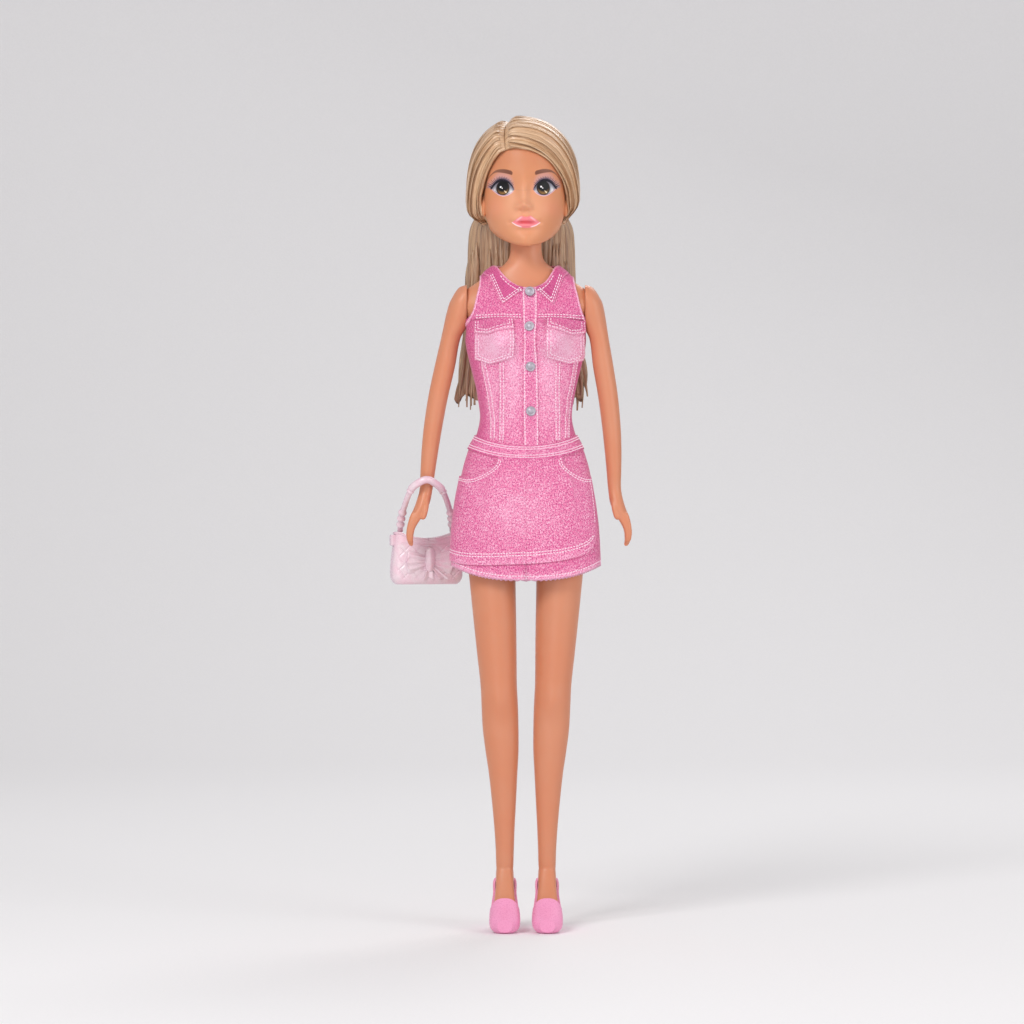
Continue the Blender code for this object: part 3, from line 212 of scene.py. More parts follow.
def noise_value(vector, scale, detail=2.0, roughness=0.5):
    inputs = {"Vector": vector, "Scale": scale, "Detail": detail, "Roughness": roughness}
    return Wire(add_node(tree_of(vector), "ShaderNodeTexNoise", inputs).outputs["Fac"])


def stretched(vector, scale):
    return Wire(add_node(tree_of(vector), "ShaderNodeMapping", {"Vector": vector, "Scale": scale}).outputs[0])


def split_up(vector):
    """The three parts of a vector."""
    return [Wire(socket) for socket in add_node(tree_of(vector), "ShaderNodeSeparateXYZ", {0: vector}).outputs]


def bumped(height, distance, strength=1.0):
    inputs = {"Height": height, "Distance": distance, "Strength": strength}
    return Wire(add_node(tree_of(height), "ShaderNodeBump", inputs).outputs[0])


def coordinates(tree, kind="Object"):
    return Wire(add_node(tree, "ShaderNodeTexCoord").outputs[kind])


def make_group(name, inputs, outputs):
    """Empty node group with named sockets; returns it with its inputs as wires and its output node."""
    group = bpy.data.node_groups.new(name, "ShaderNodeTree")
    for socket, kind, value in inputs:
        made = group.interface.new_socket(socket, in_out="INPUT", socket_type=kind)
        if value is not None:
            made.default_value = value
    for socket, kind in outputs:
        group.interface.new_socket(socket, in_out="OUTPUT", socket_type=kind)
    given = group.nodes.new("NodeGroupInput").outputs
    return group, {item[0]: Wire(given[item[0]]) for item in inputs}, group.nodes.new("NodeGroupOutput")


def place_group(tree, group, inputs):
    node = add_node(tree, "ShaderNodeGroup", inputs, node_tree=group)
    return {socket.name: Wire(socket) for socket in node.outputs}


def new_material(name):
    """Material with its tree and its surface shader."""
    material = bpy.data.materials.new(name)
    material.use_nodes = True
    tree = material.node_tree
    return material, tree, tree.nodes["Principled BSDF"]


def speckled(name, tones, roughness, scale, detail=2.0, relief=None, **values):
    """Plain finish: a fine mottle between two tones, which can also set the roughness and the relief."""
    material, tree, shader = new_material(name)
    grain = noise_value(coordinates(tree), scale, detail)
    shine = grain.fade(0.3, 0.7, *roughness) if isinstance(roughness, tuple) else roughness
    feed(shader, {"Base Color": mix(grain, *tones), "Roughness": shine, **values})
    if relief:
        feed(shader, {"Normal": bumped(grain, *relief)})
    return material


# %% Paper finish
paper = speckled("backdrop_paper", ((0.88, 0.87, 0.88, 1), (0.93, 0.92, 0.93, 1)), 0.95, 900.0,
                 relief=(0.0002, 0.3), **{"Specular IOR Level": 0.1})
backdrop.data.materials.append(paper)
world = bpy.data.worlds.new("studio")
bpy.context.scene.world = world
world.use_nodes = True
path = add_node(world.node_tree, "ShaderNodeLightPath").outputs
seen = calc("MAXIMUM", Wire(path["Is Camera Ray"]), Wire(path["Is Glossy Ray"]))
feed(world.node_tree.nodes["Background"], {"Color": (1.0, 0.985, 0.99, 1), "Strength": seen.fade(0.0, 1.0, 0.42, 0.9)})

# %% [markdown]
# ## Helpers for shapes
# A doll is all soft moulded curves, which are easiest to give as tables: at each height a half width and a
# depth. A flat grid is added as a primitive, and its points are moved onto the curve that the table
# describes. Where the grid goes right round, its two edges are merged in edit mode.


# %% Tables
def reader(rows, digits=5):
    """Function that reads a table smoothly at any height, rounded to some digits; heights come first."""
    rows = sorted(rows)

    @functools.lru_cache(maxsize=None)
    def read(height):
        if height <= rows[0][0]:
            return rows[0][1:]
        if height >= rows[-1][0]:
            return rows[-1][1:]
        index = max(place for place, row in enumerate(rows[:-1]) if row[0] <= height)
        below = rows[index]
        above = rows[index + 1]
        before = rows[max(index - 1, 0)]
        after = rows[min(index + 2, len(rows) - 1)]
        span = above[0] - below[0]
        part = (height - below[0]) / span
        square = part * part
        cube = square * part
        values = []
        for column in range(1, len(below)):
            start = span * (above[column] - before[column]) / (above[0] - before[0])
            end = span * (after[column] - below[column]) / (after[0] - below[0])
            value = below[column] + (above[column] - below[column]) * (3 * square - 2 * cube)
            values.append(value + start * (cube - 2 * square + part) + end * (cube - square))
        return values

    return lambda height: read(round(height, digits))


def bump(distance, spread):
    return math.exp(-((distance / spread) ** 2))


def smooth_step(value, start=0.0, end=1.0):
    part = min(max((value - start) / (end - start), 0.0), 1.0)
    return part * part * (3 - 2 * part)


def signed_power(value, power):
    return math.copysign(abs(value) ** power, value)


PROBE = 0.002


def lifted(surface, u, v, lift):
    """Point of a surface, moved off it along its own normal by a lift in millimetres."""
    point = surface(u, v)
    across = surface(u + PROBE, v) - surface(u - PROBE, v)
    upward = surface(u, v + PROBE) - surface(u, v - PROBE)
    return point + across.cross(upward).normalized() * lift * MM


# %% Sheets and tubes
def select_only(piece):
    bpy.ops.object.select_all(action="DESELECT")
    piece.select_set(True)
    bpy.context.view_layer.objects.active = piece


def edit_all(piece, *steps):
    """Run edit mode steps on all of one piece."""
    select_only(piece)
    bpy.ops.object.mode_set(mode="EDIT")
    bpy.ops.mesh.select_all(action="SELECT")
    for step in steps:
        step()
    bpy.ops.object.mode_set(mode="OBJECT")


def merge_points():
    bpy.ops.mesh.remove_doubles(threshold=0.000004)


def face_outwards():
    bpy.ops.mesh.normals_make_consistent(inside=False)


def fill_ends():
    bpy.ops.mesh.select_all(action="DESELECT")
    bpy.ops.mesh.select_mode(type="EDGE")
    bpy.ops.mesh.select_non_manifold(extend=False)
    bpy.ops.mesh.edge_face_add()
    bpy.ops.mesh.select_mode(type="VERT")
    bpy.ops.mesh.select_all(action="SELECT")


def measured_map(grid):
    """UV map in metres that is measured along the rows and columns of a grid of points, from their middle."""
    run = np.zeros(grid.shape[:2] + (2,))
    run[:, 1:, 0] = np.linalg.norm(np.diff(grid, axis=1), axis=2).cumsum(axis=1)
    run[1:, :, 1] = np.linalg.norm(np.diff(grid, axis=0), axis=2).cumsum(axis=0)
    run[:, :, 0] -= run[:, grid.shape[1] // 2, 0][:, None]
    return run


def sheet(name, surface, columns, rows, size=None, shade=None):
    """Grid laid on surface(u, v); its UV map is in metres, measured, or for a flat size in millimetres."""
    piece = add_primitive(bpy.ops.mesh.primitive_grid_add, x_subdivisions=columns, y_subdivisions=rows, size=1,
                          calc_uvs=True)
    piece.name = name
    mesh = piece.data
    mesh.name = name
    shares = [(vertex.co.x + 0.5, vertex.co.y + 0.5) for vertex in mesh.vertices]
    places = [surface(u, v) for u, v in shares]
    mesh.vertices.foreach_set("co", np.array(places, dtype=np.float32).ravel())
    if size:
        layout = np.array(shares) * size * MM
    else:
        layout = measured_map(np.array(places).reshape(rows + 1, columns + 1, 3)).reshape(-1, 2)
    corners = np.empty(len(mesh.loops), dtype=np.int32)
    mesh.loops.foreach_get("vertex_index", corners)
    mesh.uv_layers[0].data.foreach_set("uv", layout[corners].astype(np.float32).ravel())
    if shade:
        values = mesh.attributes.new("shade", "FLOAT", "POINT").data
        values.foreach_set("value", [shade(u, v) for u, v in shares])
    mesh.update()
    mesh.shade_smooth()
    return piece


def closed_form(name, surface, columns, rows, size=None):
    """Sheet that goes right round in u, merged along its edge and closed at both ends."""
    piece = sheet(name, surface, columns, rows, size)
    edit_all(piece, merge_points, fill_ends, face_outwards)
    return piece


def apply_modifier(piece, kind, **settings):
    """Add a modifier, set it and apply it at once."""
    select_only(piece)
    modifier = piece.modifiers.new("step", kind)
    for key, value in settings.items():
        setattr(modifier, key, value)
    bpy.ops.object.modifier_apply(modifier=modifier.name)
    return piece


def thicken(piece, thickness, offset=1.0):
    settings = {"thickness": thickness * MM, "offset": offset, "use_even_offset": False}
    return apply_modifier(piece, "SOLIDIFY", **settings)


def round_edges(piece, width):
    settings = {"segments": 2, "limit_method": "ANGLE", "angle_limit": math.radians(50)}
    return apply_modifier(piece, "BEVEL", width=width * MM, **settings)


def surface_tree(piece):
    """Search tree that finds where a line meets a piece."""
    corners = [polygon.vertices for polygon in piece.data.polygons]
    return BVHTree.FromPolygons([vertex.co for vertex in piece.data.vertices], corners)


def new_piece(name, *parts):
    """Piece from its points, edges and faces."""
    mesh = bpy.data.meshes.new(name)
    mesh.from_pydata(*parts)
    piece = bpy.data.objects.new(name, mesh)
    bpy.context.scene.collection.objects.link(piece)
    return piece


def join(name, pieces):
    """One piece made of several."""
    bpy.ops.object.select_all(action="DESELECT")
    for piece in pieces:
        piece.select_set(True)
    bpy.context.view_layer.objects.active = pieces[0]
    if len(pieces) > 1:
        bpy.ops.object.join()
    pieces[0].name = name
    pieces[0].data.name = name
    return pieces[0]


def fuse(piece, grain, smoothing=3):
    """Melt overlapping closed forms of one piece into a single skin."""
    apply_modifier(piece, "REMESH", mode="VOXEL", voxel_size=grain * MM, use_smooth_shade=True)
    apply_modifier(piece, "SMOOTH", iterations=smoothing, factor=0.5)
    return piece


def tubes(name, paths, sides=8):
    """Tubes with flat oval sections; a path is a list of (place, normal, half width, half thickness) in mm."""
    points = []
    faces = []
    uvs = []
    for path_points in paths:
        base = len(points)
        count = len(path_points)
        run = 0.0
        for index, (place, normal, half_width, half_thickness) in enumerate(path_points):
            before = path_points[max(index - 1, 0)][0]
            after = path_points[min(index + 1, count - 1)][0]
            along = (after - before).normalized()
            side = along.cross(normal).normalized()
            up = side.cross(along)
            run += (place - before).length
            for corner in range(sides):
                angle = 2 * math.pi * corner / sides
                reach = side * math.cos(angle) * half_width + up * math.sin(angle) * half_thickness
                points.append(place + reach * MM)
                uvs.append((base * 0.0137 % 1 + math.cos(angle) * half_width * MM, run))
        for ring in range(count - 1):
            for corner in range(sides):
                low = base + ring * sides + corner
                next_low = base + ring * sides + (corner + 1) % sides
                faces.append((low, next_low, next_low + sides, low + sides))
        faces.append(tuple(base + corner for corner in reversed(range(sides))))
        faces.append(tuple(base + (count - 1) * sides + corner for corner in range(sides)))
    piece = new_piece(name, points, [], faces)
    mesh = piece.data
    layer = mesh.uv_layers.new(name="UVMap")
    indices = np.empty(len(mesh.loops), dtype=np.int32)
    mesh.loops.foreach_get("vertex_index", indices)
    layer.data.foreach_set("uv", np.array(uvs, dtype=np.float32)[indices].ravel())
    mesh.shade_smooth()
    return piece


# %% Finishing a piece
def finish(piece, material, slot, body, *nodes, bend=None):
    """Give a piece its finish and hide the plain solids that it stands for; a piece without a bend is also tied to its
    body.
    """
    piece.data.materials.clear()
    piece.data.materials.append(material)
    if nodes:
        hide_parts(*nodes)
    if bend:
        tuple(bend[1])
        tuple(bend[2])
        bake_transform(piece)
    else:
        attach(piece, body)
    print(piece.name, "faces:", len(piece.data.polygons))
    return piece


# %% [markdown]
# ## Skin plastic
# The body is moulded from a warm tan plastic with a fine satin grain: no pores, but a slight unevenness of
# colour where the plastic is thicker, and a soft shine. The face is a softer vinyl with the same colour, so
# both share one node group.

# %% Skin group
skin_group, given, out = make_group(
    "moulded_skin",
    [("Vector", "NodeSocketVector", None), ("Tone", "NodeSocketColor", (0.8, 0.4, 0.25, 1))],
    [("Color", "NodeSocketColor"), ("Roughness", "NodeSocketFloat"), ("Height", "NodeSocketFloat")],
)
broad = noise_value(given["Vector"], 60.0)
fine = noise_value(given["Vector"], 5200.0)
warmer = mix(1.0, given["Tone"], (1.0, 0.93, 0.88, 1), "MULTIPLY")
feed(out, {"Color": mix(broad.fade(0.3, 0.7), given["Tone"], warmer), "Roughness": fine.fade(0.3, 0.7, 0.36, 0.44),
           "Height": fine})
skin_values = {"Subsurface Weight": 0.12, "Subsurface Radius": (1.0, 0.35, 0.15), "Subsurface Scale": 0.0015}
skin_relief = (0.00002, 0.5)


def make_skin(name, tone):
    material, tree, shader = new_material(name)
    made = place_group(tree, skin_group, {"Vector": coordinates(tree), "Tone": tone})
    feed(shader, {"Base Color": made["Color"], "Roughness": made["Roughness"], "Specular IOR Level": 0.42,
                  "Normal": bumped(made["Height"], *skin_relief), **skin_values})
    return material


body_skin = make_skin("body_skin", (0.64, 0.262, 0.142, 1))
limb_skin = make_skin("limb_skin", (0.63, 0.250, 0.138, 1))

# %% [markdown]
# ## Torso
# The torso is two hard half shells that meet at the sides. Each half is the same round form cut by a plane,
# with the flat seats for the arms and the spaces where the legs swing cut out of it.

# %% Torso form
torso_at = reader([
    (144.5, 19.57, 5.72, 6.77), (149.24, 21.9, 8.74, 9.84), (157.14, 23.3, 10.19, 12.05), (165.04, 22.83, 10.4, 11.93),
    (172.94, 19.3, 10.0, 10.5), (178.47, 16.2, 9.3, 9.0), (184.0, 14.33, 8.32, 7.75), (191.79, 15.33, 8.36, 7.88),
    (201.63, 17.32, 9.21, 8.6), (211.06, 19.32, 9.59, 9.21), (216.39, 19.85, 9.5, 9.12), (220.49, 22.89, 9.12, 8.93),
    (224.18, 26.04, 8.36, 8.55), (228.12, 23.94, 7.41, 7.79), (231.48, 19.01, 6.37, 6.93), (235.32, 13.44, 5.6, 6.17),
    (239.16, 7.56, 5.32, 5.7), (242.52, 5.8, 5.23, 5.51), (249.0, 5.61, 5.23, 5.42),
])
crotch_height = 144.5
neck_top = 249.0
shoulder_height = 225.0
hip_height = 153.0
bust_height = 211.0
bust_spacing = 9.2
bust_spread = 5.6
bust_reach = 4.8
bust_ease = 1.0


def torso_point(angle, height, ease=0.0):
    """Point on the torso: angle 0 is the front, a quarter turn is its left side."""
    half_width, front, back = torso_at(height)
    across = half_width * math.sin(angle)
    facing = math.cos(angle)
    depth = -(front if facing > 0 else back) * facing
    if facing > 0:
        swell = bump(abs(across) - bust_spacing, bust_spread) * bump(height - bust_height, bust_spread)
        depth -= (bust_reach + ease) * swell * facing ** 0.5
    return at(across, depth, height)


# %% Torso shells
def box_tool(low, high):
    """Box between two corners, for cutting."""
    tool = add_primitive(bpy.ops.mesh.primitive_cube_add, size=1)
    for vertex in tool.data.vertices:
        vertex.co = Vector(low[axis] + (high[axis] - low[axis]) * (vertex.co[axis] + 0.5) for axis in range(3))
    return tool


def cut_away(piece, tool, operation="DIFFERENCE"):
    apply_modifier(piece, "BOOLEAN", operation=operation, object=tool, solver="EXACT")
    bpy.data.objects.remove(tool)


hip_seat_radius = 11.85
crotch_half_width = 3.2
shoulder_face = 21.2
far = 60.0


def rod_tool(middle, radius, length, corners):
    """Rod that lies from side to side, for cutting or adding."""
    tool = add_primitive(bpy.ops.mesh.primitive_cylinder_add, vertices=corners, radius=radius * MM, depth=length * MM)
    tool.data.transform(Matrix.Rotation(math.pi / 2, 4, "Y"))
    tool.data.transform(Matrix.Translation(middle))
    return tool


def hip_seat(sign):
    """Round space over the top of one leg, open in front and below."""
    tool = rod_tool(at(sign * (crotch_half_width + far / 2), 0, hip_height), hip_seat_radius, far, 96)
    inner = sign * crotch_half_width
    outer = sign * (crotch_half_width + far)
    front = box_tool(at(min(inner, outer), -far, 120), at(max(inner, outer), 0, hip_height))
    below = box_tool(at(min(inner, outer), -far / 2, 110), at(max(inner, outer), hip_seat_radius, hip_height + 5))
    cut_away(tool, front, "UNION")
    cut_away(tool, below, "UNION")
    return tool


def torso_shell(name, node, front):
    def surface(u, v):
        return torso_point(2 * math.pi * u, crotch_height + (neck_top - crotch_height) * v)

    shell = closed_form(name, surface, 112, 150)
    cut_away(shell, box_tool(at(-far, 0.0 if front else -far, 90), at(far, far if front else 0.0, 300)))
    for sign in (1, -1):
        cut_away(shell, hip_seat(sign))
        side = sorted((sign * shoulder_face, sign * far))
        cut_away(shell, box_tool(at(side[0], -far, bust_height), at(side[1], far, 260)))
    shell.data.set_sharp_from_angle(angle=math.radians(38))
    return finish(shell, body_skin, "torso_plastic", "torso", node)


torso_shell("torso_front_shell", "torso_front", True)
torso_shell("torso_back_shell", "torso_back", False)

# %% [markdown]
# ## Arms
# Each arm is one soft piece: a round shoulder that ends in a flat face, a straight upper arm, a slim wrist
# and a hand whose fingers are moulded together. The arm, the four fingers and the thumb are separate closed
# forms, which a remesh then melts into one skin, as a mould would.

# %% Arm tables
arm_heights = (231.83, 231.2, 230.2, 229.0, 227.5, 225.0, 220.97, 216.5, 212.04, 202.05, 192.06, 181.99, 172.97,
               164.99, 157.99, 152.47, 148.0, 143.97, 140.47, 137.4)
arm_columns = {
    "left": (19.2, 19.7, 20.35, 21.0, 21.75, 22.96, 23.64, 24.95, 26.35, 27.85, 29.46, 30.61, 31.3, 31.65, 31.91,
             32.95, 34.95, 36.45, 36.65, 35.85),
    "right": (19.2, 19.7, 20.35, 21.0, 21.75, 22.96, 23.89, 25.46, 27.13, 29.23, 31.44, 33.19, 34.42, 35.25, 35.93,
              37.3, 39.57, 41.31, 41.72, 41.11),
}
# Half width, half depth and how far forward
arm_sections = (
    (2.5, 1.9, 0.0), (3.5, 3.2, 0.0), (4.1, 4.4, 0.0), (4.4, 5.2, 0.0), (4.55, 5.8, 0.0), (4.59, 6.11, 0.0),
    (4.81, 5.81, 0.0), (4.2, 5.0, 0.0), (3.5, 4.48, 0.0), (3.7, 4.2, 0.0), (3.6, 4.0, 0.0), (3.4, 3.81, 0.0),
    (3.1, 3.4, 0.2), (2.7, 3.0, 0.4), (2.35, 2.5, 0.7), (2.5, 3.5, 1.2), (2.1, 3.7, 1.6), (1.4, 3.5, 2.0),
    (1.1, 3.2, 2.1), (0.7, 2.29, 2.2),
)
arm_plane = 21.27
arm_top = 231.8
palm_low = 146.5
palm_half_depth = 3.7
finger_root = 149.5
finger_spacing = 1.72
finger_half = 0.98
finger_ends = (138.6, 137.4, 137.7, 139.4)
thumb_root = 155.2
thumb_length = 8.3
# Keeps the last ring of a tip open, so that it can be filled
tip_least = 0.01


def round_end(v, start):
    """Width of a round tip: one up to the start, then down to nothing."""
    return math.sqrt(max(0.0, 1 - max(0.0, (v - start) / (1 - start)) ** 2))


# %% Arms
def make_arm(side, sign):
    read = reader([(height, middle, *section) for height, middle, section
                   in zip(arm_heights, arm_columns[side], arm_sections)])

    def surface(u, v):
        height = palm_low + (arm_top - palm_low) * v
        middle, half_width, half_depth, forward = read(height)
        angle = 2 * math.pi * u
        close = math.sqrt(min(1.0, (height - palm_low + 0.02) / 1.5)) * math.sqrt(min(1.0, (231.85 - height) / 0.8))
        across = middle + half_width * math.sin(angle) * close
        depth = -forward - half_depth * math.cos(angle) * close
        return at(sign * across, depth, height)

    forms = [closed_form("arm_form", surface, 44, 170)]
    for index, end in enumerate(finger_ends):
        offset = (index - 1.5) * finger_spacing

        def finger(u, v, offset=offset, end=end):
            height = finger_root + (end - finger_root) * v
            middle, half_width, half_depth, forward = read(height)
            spread = half_depth / palm_half_depth
            tip = round_end(v, 0.9) + tip_least
            angle = 2 * math.pi * u
            across = middle + (max(half_width, 0.75) + 0.1) * tip * math.sin(angle)
            depth = -forward + offset * spread - finger_half * spread * math.cos(angle) * tip
            return at(sign * across, depth, height)

        forms.append(closed_form("finger_form", finger, 16, 44))
    start_middle, _, start_depth, start_forward = read(155.0)

    def thumb(u, v):
        radius = (1.35 - 0.45 * v) * round_end(v, 0.85) + tip_least
        angle = 2 * math.pi * u
        bow = 0.5 * math.sin(math.pi * v)
        across = start_middle - 0.2 + (-0.35 + 1.5 * v) * 0.6 - bow + radius * math.sin(angle)
        depth = -start_forward - start_depth * 0.4 - 2.3 * v - bow - radius * math.cos(angle)
        return at(sign * across, depth, thumb_root - thumb_length * v)

    forms.append(closed_form("thumb_form", thumb, 14, 30))
    arm = fuse(join("arm_" + side + "_skin", forms), 0.3, 4)
    inner = sorted((sign * arm_plane, 0.0))
    cut_away(arm, box_tool(at(inner[0], -far, 190), at(inner[1], far, 260)))
    cut_away(arm, rod_tool(at(sign * 19.2, 0, shoulder_height), 2.0, 5.6, 40), "UNION")
    arm.data.set_sharp_from_angle(angle=math.radians(50))
    return finish(arm, limb_skin, "limb_vinyl", "arm_" + side, "arm_" + side)


for side, sign in SIDES:
    make_arm(side, sign)

# %% [markdown]
# ## Legs and shoes
# The legs are straight, with a soft knee and calf, and feet arched for heels. The foot is a second form
# melted onto the leg. The pumps hide most of the foot, so each is cut from the same foot form, grown
# outwards: a thin shell, open on top, with a slim heel and a flat sole.

# %% Leg and foot forms
leg_at = reader([
    (16.98, 7.61, 2.49, 1.96, 4.14), (22.03, 7.61, 3.09, 2.99, 4.2), (28.0, 7.61, 3.29, 3.4, 3.9),
    (35.95, 7.72, 3.69, 3.7, 4.4), (45.9, 7.91, 4.39, 4.3, 5.6), (56.0, 8.22, 5.19, 5.09, 7.0),
    (63.95, 8.61, 5.98, 5.7, 7.6), (72.06, 9.12, 6.48, 6.3, 7.39), (80.02, 9.42, 6.58, 7.0, 6.6),
    (87.97, 9.82, 6.58, 7.39, 6.6), (98.07, 10.42, 7.09, 7.8, 7.3), (110.01, 11.12, 7.66, 8.39, 8.1),
    (119.95, 11.72, 8.08, 8.9, 8.71), (130.97, 12.32, 8.58, 9.4, 9.4), (140.0, 12.82, 9.17, 10.2, 10.6),
    (147.03, 13.02, 9.48, 11.01, 11.4), (153.0, 13.13, 9.57, 11.5, 11.5), (158.22, 13.13, 9.29, 10.25, 10.25),
    (162.09, 13.13, 8.23, 7.05, 7.05), (164.04, 13.13, 5.94, 3.21, 3.21), (164.45, 13.13, 3.26, 1.08, 1.08),
])
foot_at = reader([
    (-6.5, 1.32, 14.56, 18.72), (-5.0, 2.68, 12.48, 22.62), (-2.5, 3.21, 10.92, 24.96), (1.5, 3.21, 8.84, 23.4),
    (5.5, 3.52, 5.59, 17.42), (9.5, 4.09, 2.21, 11.96), (13.0, 4.4, 0.83, 8.32), (16.0, 4.0, 0.83, 5.98),
    (18.5, 1.8, 1.69, 4.16),
])
foot_middle = 7.61
foot_heel = -6.5
foot_length = 25.0
foot_square = 0.77
leg_low = 16.98
leg_top = 164.45
knee_height = 82.0


def make_foot(name, sign, lift):
    """Closed foot form, grown by a lift in millimetres."""

    def surface(u, v):
        along = foot_heel + foot_length * (0.5 - 0.5 * math.cos(math.pi * v))
        half_width, low, high = foot_at(along)
        angle = 2 * math.pi * u * sign
        across = foot_middle + half_width * signed_power(math.sin(angle), foot_square)
        height = (low + high) / 2 - (high - low) / 2 * signed_power(math.cos(angle), foot_square)
        return at(sign * across, -along, height)

    return closed_form(name, lambda u, v: lifted(surface, u, min(max(v, 0.004), 0.996), lift), 40, 60)


# %% Legs
def make_leg(side, sign):
    def surface(u, v):
        height = leg_low + (leg_top - leg_low) * v
        middle, half_width, front, back = leg_at(height)
        angle = 2 * math.pi * u
        facing = math.cos(angle)
        depth = -(front if facing > 0 else back) * facing
        if facing > 0:
            depth -= 0.55 * bump(math.sin(angle), 0.45) * bump(height - knee_height, 4.2)
            depth += 0.3 * bump(math.sin(angle), 0.5) * bump(height - knee_height + 8.5, 4.0)
        return at(sign * (middle + half_width * math.sin(angle)), depth, height)

    leg = closed_form("leg_form", surface, 64, 200)
    leg = fuse(join("leg_" + side + "_skin", [leg, make_foot("foot_form", sign, 0.0)]), 0.5, 4)
    return finish(leg, limb_skin, "limb_vinyl", "leg_" + side, "leg_" + side)


# %% Shoe finish
shoe_material = speckled("shoe_plastic", ((0.80, 0.27, 0.47, 1), (0.90, 0.36, 0.58, 1)), (0.24, 0.36), 2600.0, 3.0,
                         (0.00002, 0.4))


# %% Shoes
shoe_lift = 1.15
shoe_inside = 0.35
shoe_half = 8.0
heel_low_radius = 1.5
heel_top_radius = 2.9
heel_tall = 13.5
heel_behind = 4.2
# Outline of the open top, seen from the side: depth and height
shoe_opening = ((9.5, 18.4), (5.25, 17.4), (0.0, 14.0), (-5.0, 10.4), (-9.0, 7.02), (-11.0, 8.58), (-11.25, 40.0),
                (12.0, 40.0))


def make_shoe(side, sign):
    shoe = make_foot("shoe_" + side + "_pump", sign, shoe_lift)
    heel = add_primitive(bpy.ops.mesh.primitive_cone_add, vertices=36, radius1=heel_low_radius * MM,
                         radius2=heel_top_radius * MM, depth=heel_tall * MM)
    heel.data.transform(Matrix.Translation(at(sign * foot_middle, heel_behind, heel_tall / 2)))
    cut_away(shoe, heel, "UNION")
    cut_away(shoe, make_foot("foot_space", sign, shoe_inside))
    count = len(shoe_opening)
    points = [at(sign * foot_middle + across, y, z) for across in (-shoe_half, shoe_half) for y, z in shoe_opening]
    walls = [(i, (i + 1) % count, (i + 1) % count + count, i + count) for i in range(count)]
    opening = new_piece("opening", points, [], [tuple(range(count)), tuple(range(count, 2 * count)), *walls])
    edit_all(opening, face_outwards)
    cut_away(shoe, opening)
    cut_away(shoe, box_tool(at(-far, -far, -20), at(far, far, 0)))
    shoe.data.set_sharp_from_angle(angle=math.radians(45))
    return finish(shoe, shoe_material, "shoe_plastic", "leg_" + side, "shoe_" + side)


for side, sign in SIDES:
    make_leg(side, sign)
    make_shoe(side, sign)

# %% [markdown]
# ## Head
# The head is one hollow vinyl form. Its plain outline comes from a table of tilted rings, and the features
# stand out of it as soft swells: each is a smooth bump with its own width and height, the way a face is built
# up in clay. The ears, mostly under the hair, are two small round forms. The mesh is dense enough to hold the
# lips and the wings of the nose.

# %% Head form
head_at = reader([
    (0.0, 248.2, 248.2, 5.9, 5.9, 5.9), (0.077, 246.32, 251.31, 7.35, 11.05, 9.57),
    (0.154, 245.3, 252.81, 10.01, 14.62, 12.01), (0.231, 247.2, 255.29, 12.3, 15.98, 13.92),
    (0.308, 250.78, 258.56, 13.61, 16.2, 15.66), (0.385, 255.02, 262.01, 14.5, 16.69, 16.7),
    (0.462, 260.2, 265.81, 14.96, 16.59, 17.3), (0.538, 265.99, 269.48, 15.0, 16.4, 17.4),
    (0.615, 272.0, 273.19, 14.89, 16.8, 17.0), (0.692, 277.79, 277.79, 14.2, 16.1, 16.01),
    (0.769, 283.0, 283.0, 12.3, 13.94, 13.8), (0.846, 286.8, 286.8, 9.2, 10.37, 10.41),
    (0.923, 289.01, 289.01, 4.8, 5.41, 5.39), (1.0, 289.5, 289.5, 0.05, 0.06, 0.06),
], digits=6)
eye_middle = -0.85
eye_reach = 7.2
eye_height = 265.1
nose_middle = -0.3
lip_line = 252.65
# Each swell: middle across, height, spread across, spread up, how far it stands out; hollows are below zero
swells = (
    (nose_middle, 266.5, 1.9, 4.2, 0.65), (nose_middle, 262.2, 1.9, 3.0, 1.1), (nose_middle, 258.9, 1.8, 1.75, 2.6),
    (nose_middle - 2.2, 258.2, 1.15, 1.1, 1.0), (nose_middle + 2.2, 258.2, 1.15, 1.1, 1.0),
    (nose_middle - 1.35, 256.9, 0.7, 0.45, -0.45), (nose_middle + 1.35, 256.9, 0.7, 0.45, -0.45),
    (0.0, 253.95, 3.4, 1.0, 1.0), (-1.5, 254.4, 1.0, 0.7, 0.3), (1.5, 254.4, 1.0, 0.7, 0.3),
    (0.0, 251.75, 3.1, 0.95, 1.25), (0.0, 246.8, 4.0, 2.4, 0.9), (0.0, 256.4, 0.6, 0.9, -0.25),
    (0.0, lip_line, 4.8, 0.30, -0.6), (0.0, 249.9, 3.4, 0.9, -0.45), (-5.5, 252.9, 0.9, 0.9, -0.45),
    (5.5, 253.0, 0.9, 0.9, -0.45),
)
# The same for both eyes and cheeks; here the first number is the distance from the middle between the eyes
pair_swells = (
    (eye_reach - 0.6, eye_height + 0.2, 4.6, 3.4, -1.45), (eye_reach + 0.3, eye_height, 3.6, 2.5, 0.95),
    (eye_reach, eye_height + 5.6, 5.0, 1.9, 0.35), (9.0, 257.0, 4.6, 4.2, 0.75),
    (2.9, eye_height - 0.5, 1.3, 2.2, -0.5),
)
chin_height = 244.6
ear_across = 14.6
ear_height = 260.2


def face_relief(across, height):
    relief = sum(reach * bump(across - x, wide) * bump(height - z, tall) for x, z, wide, tall, reach in swells)
    for x, z, wide, tall, reach in pair_swells:
        sides = bump(across - eye_middle - x, wide) + bump(across - eye_middle + x, wide)
        relief += reach * sides * bump(height - z, tall)
    return relief


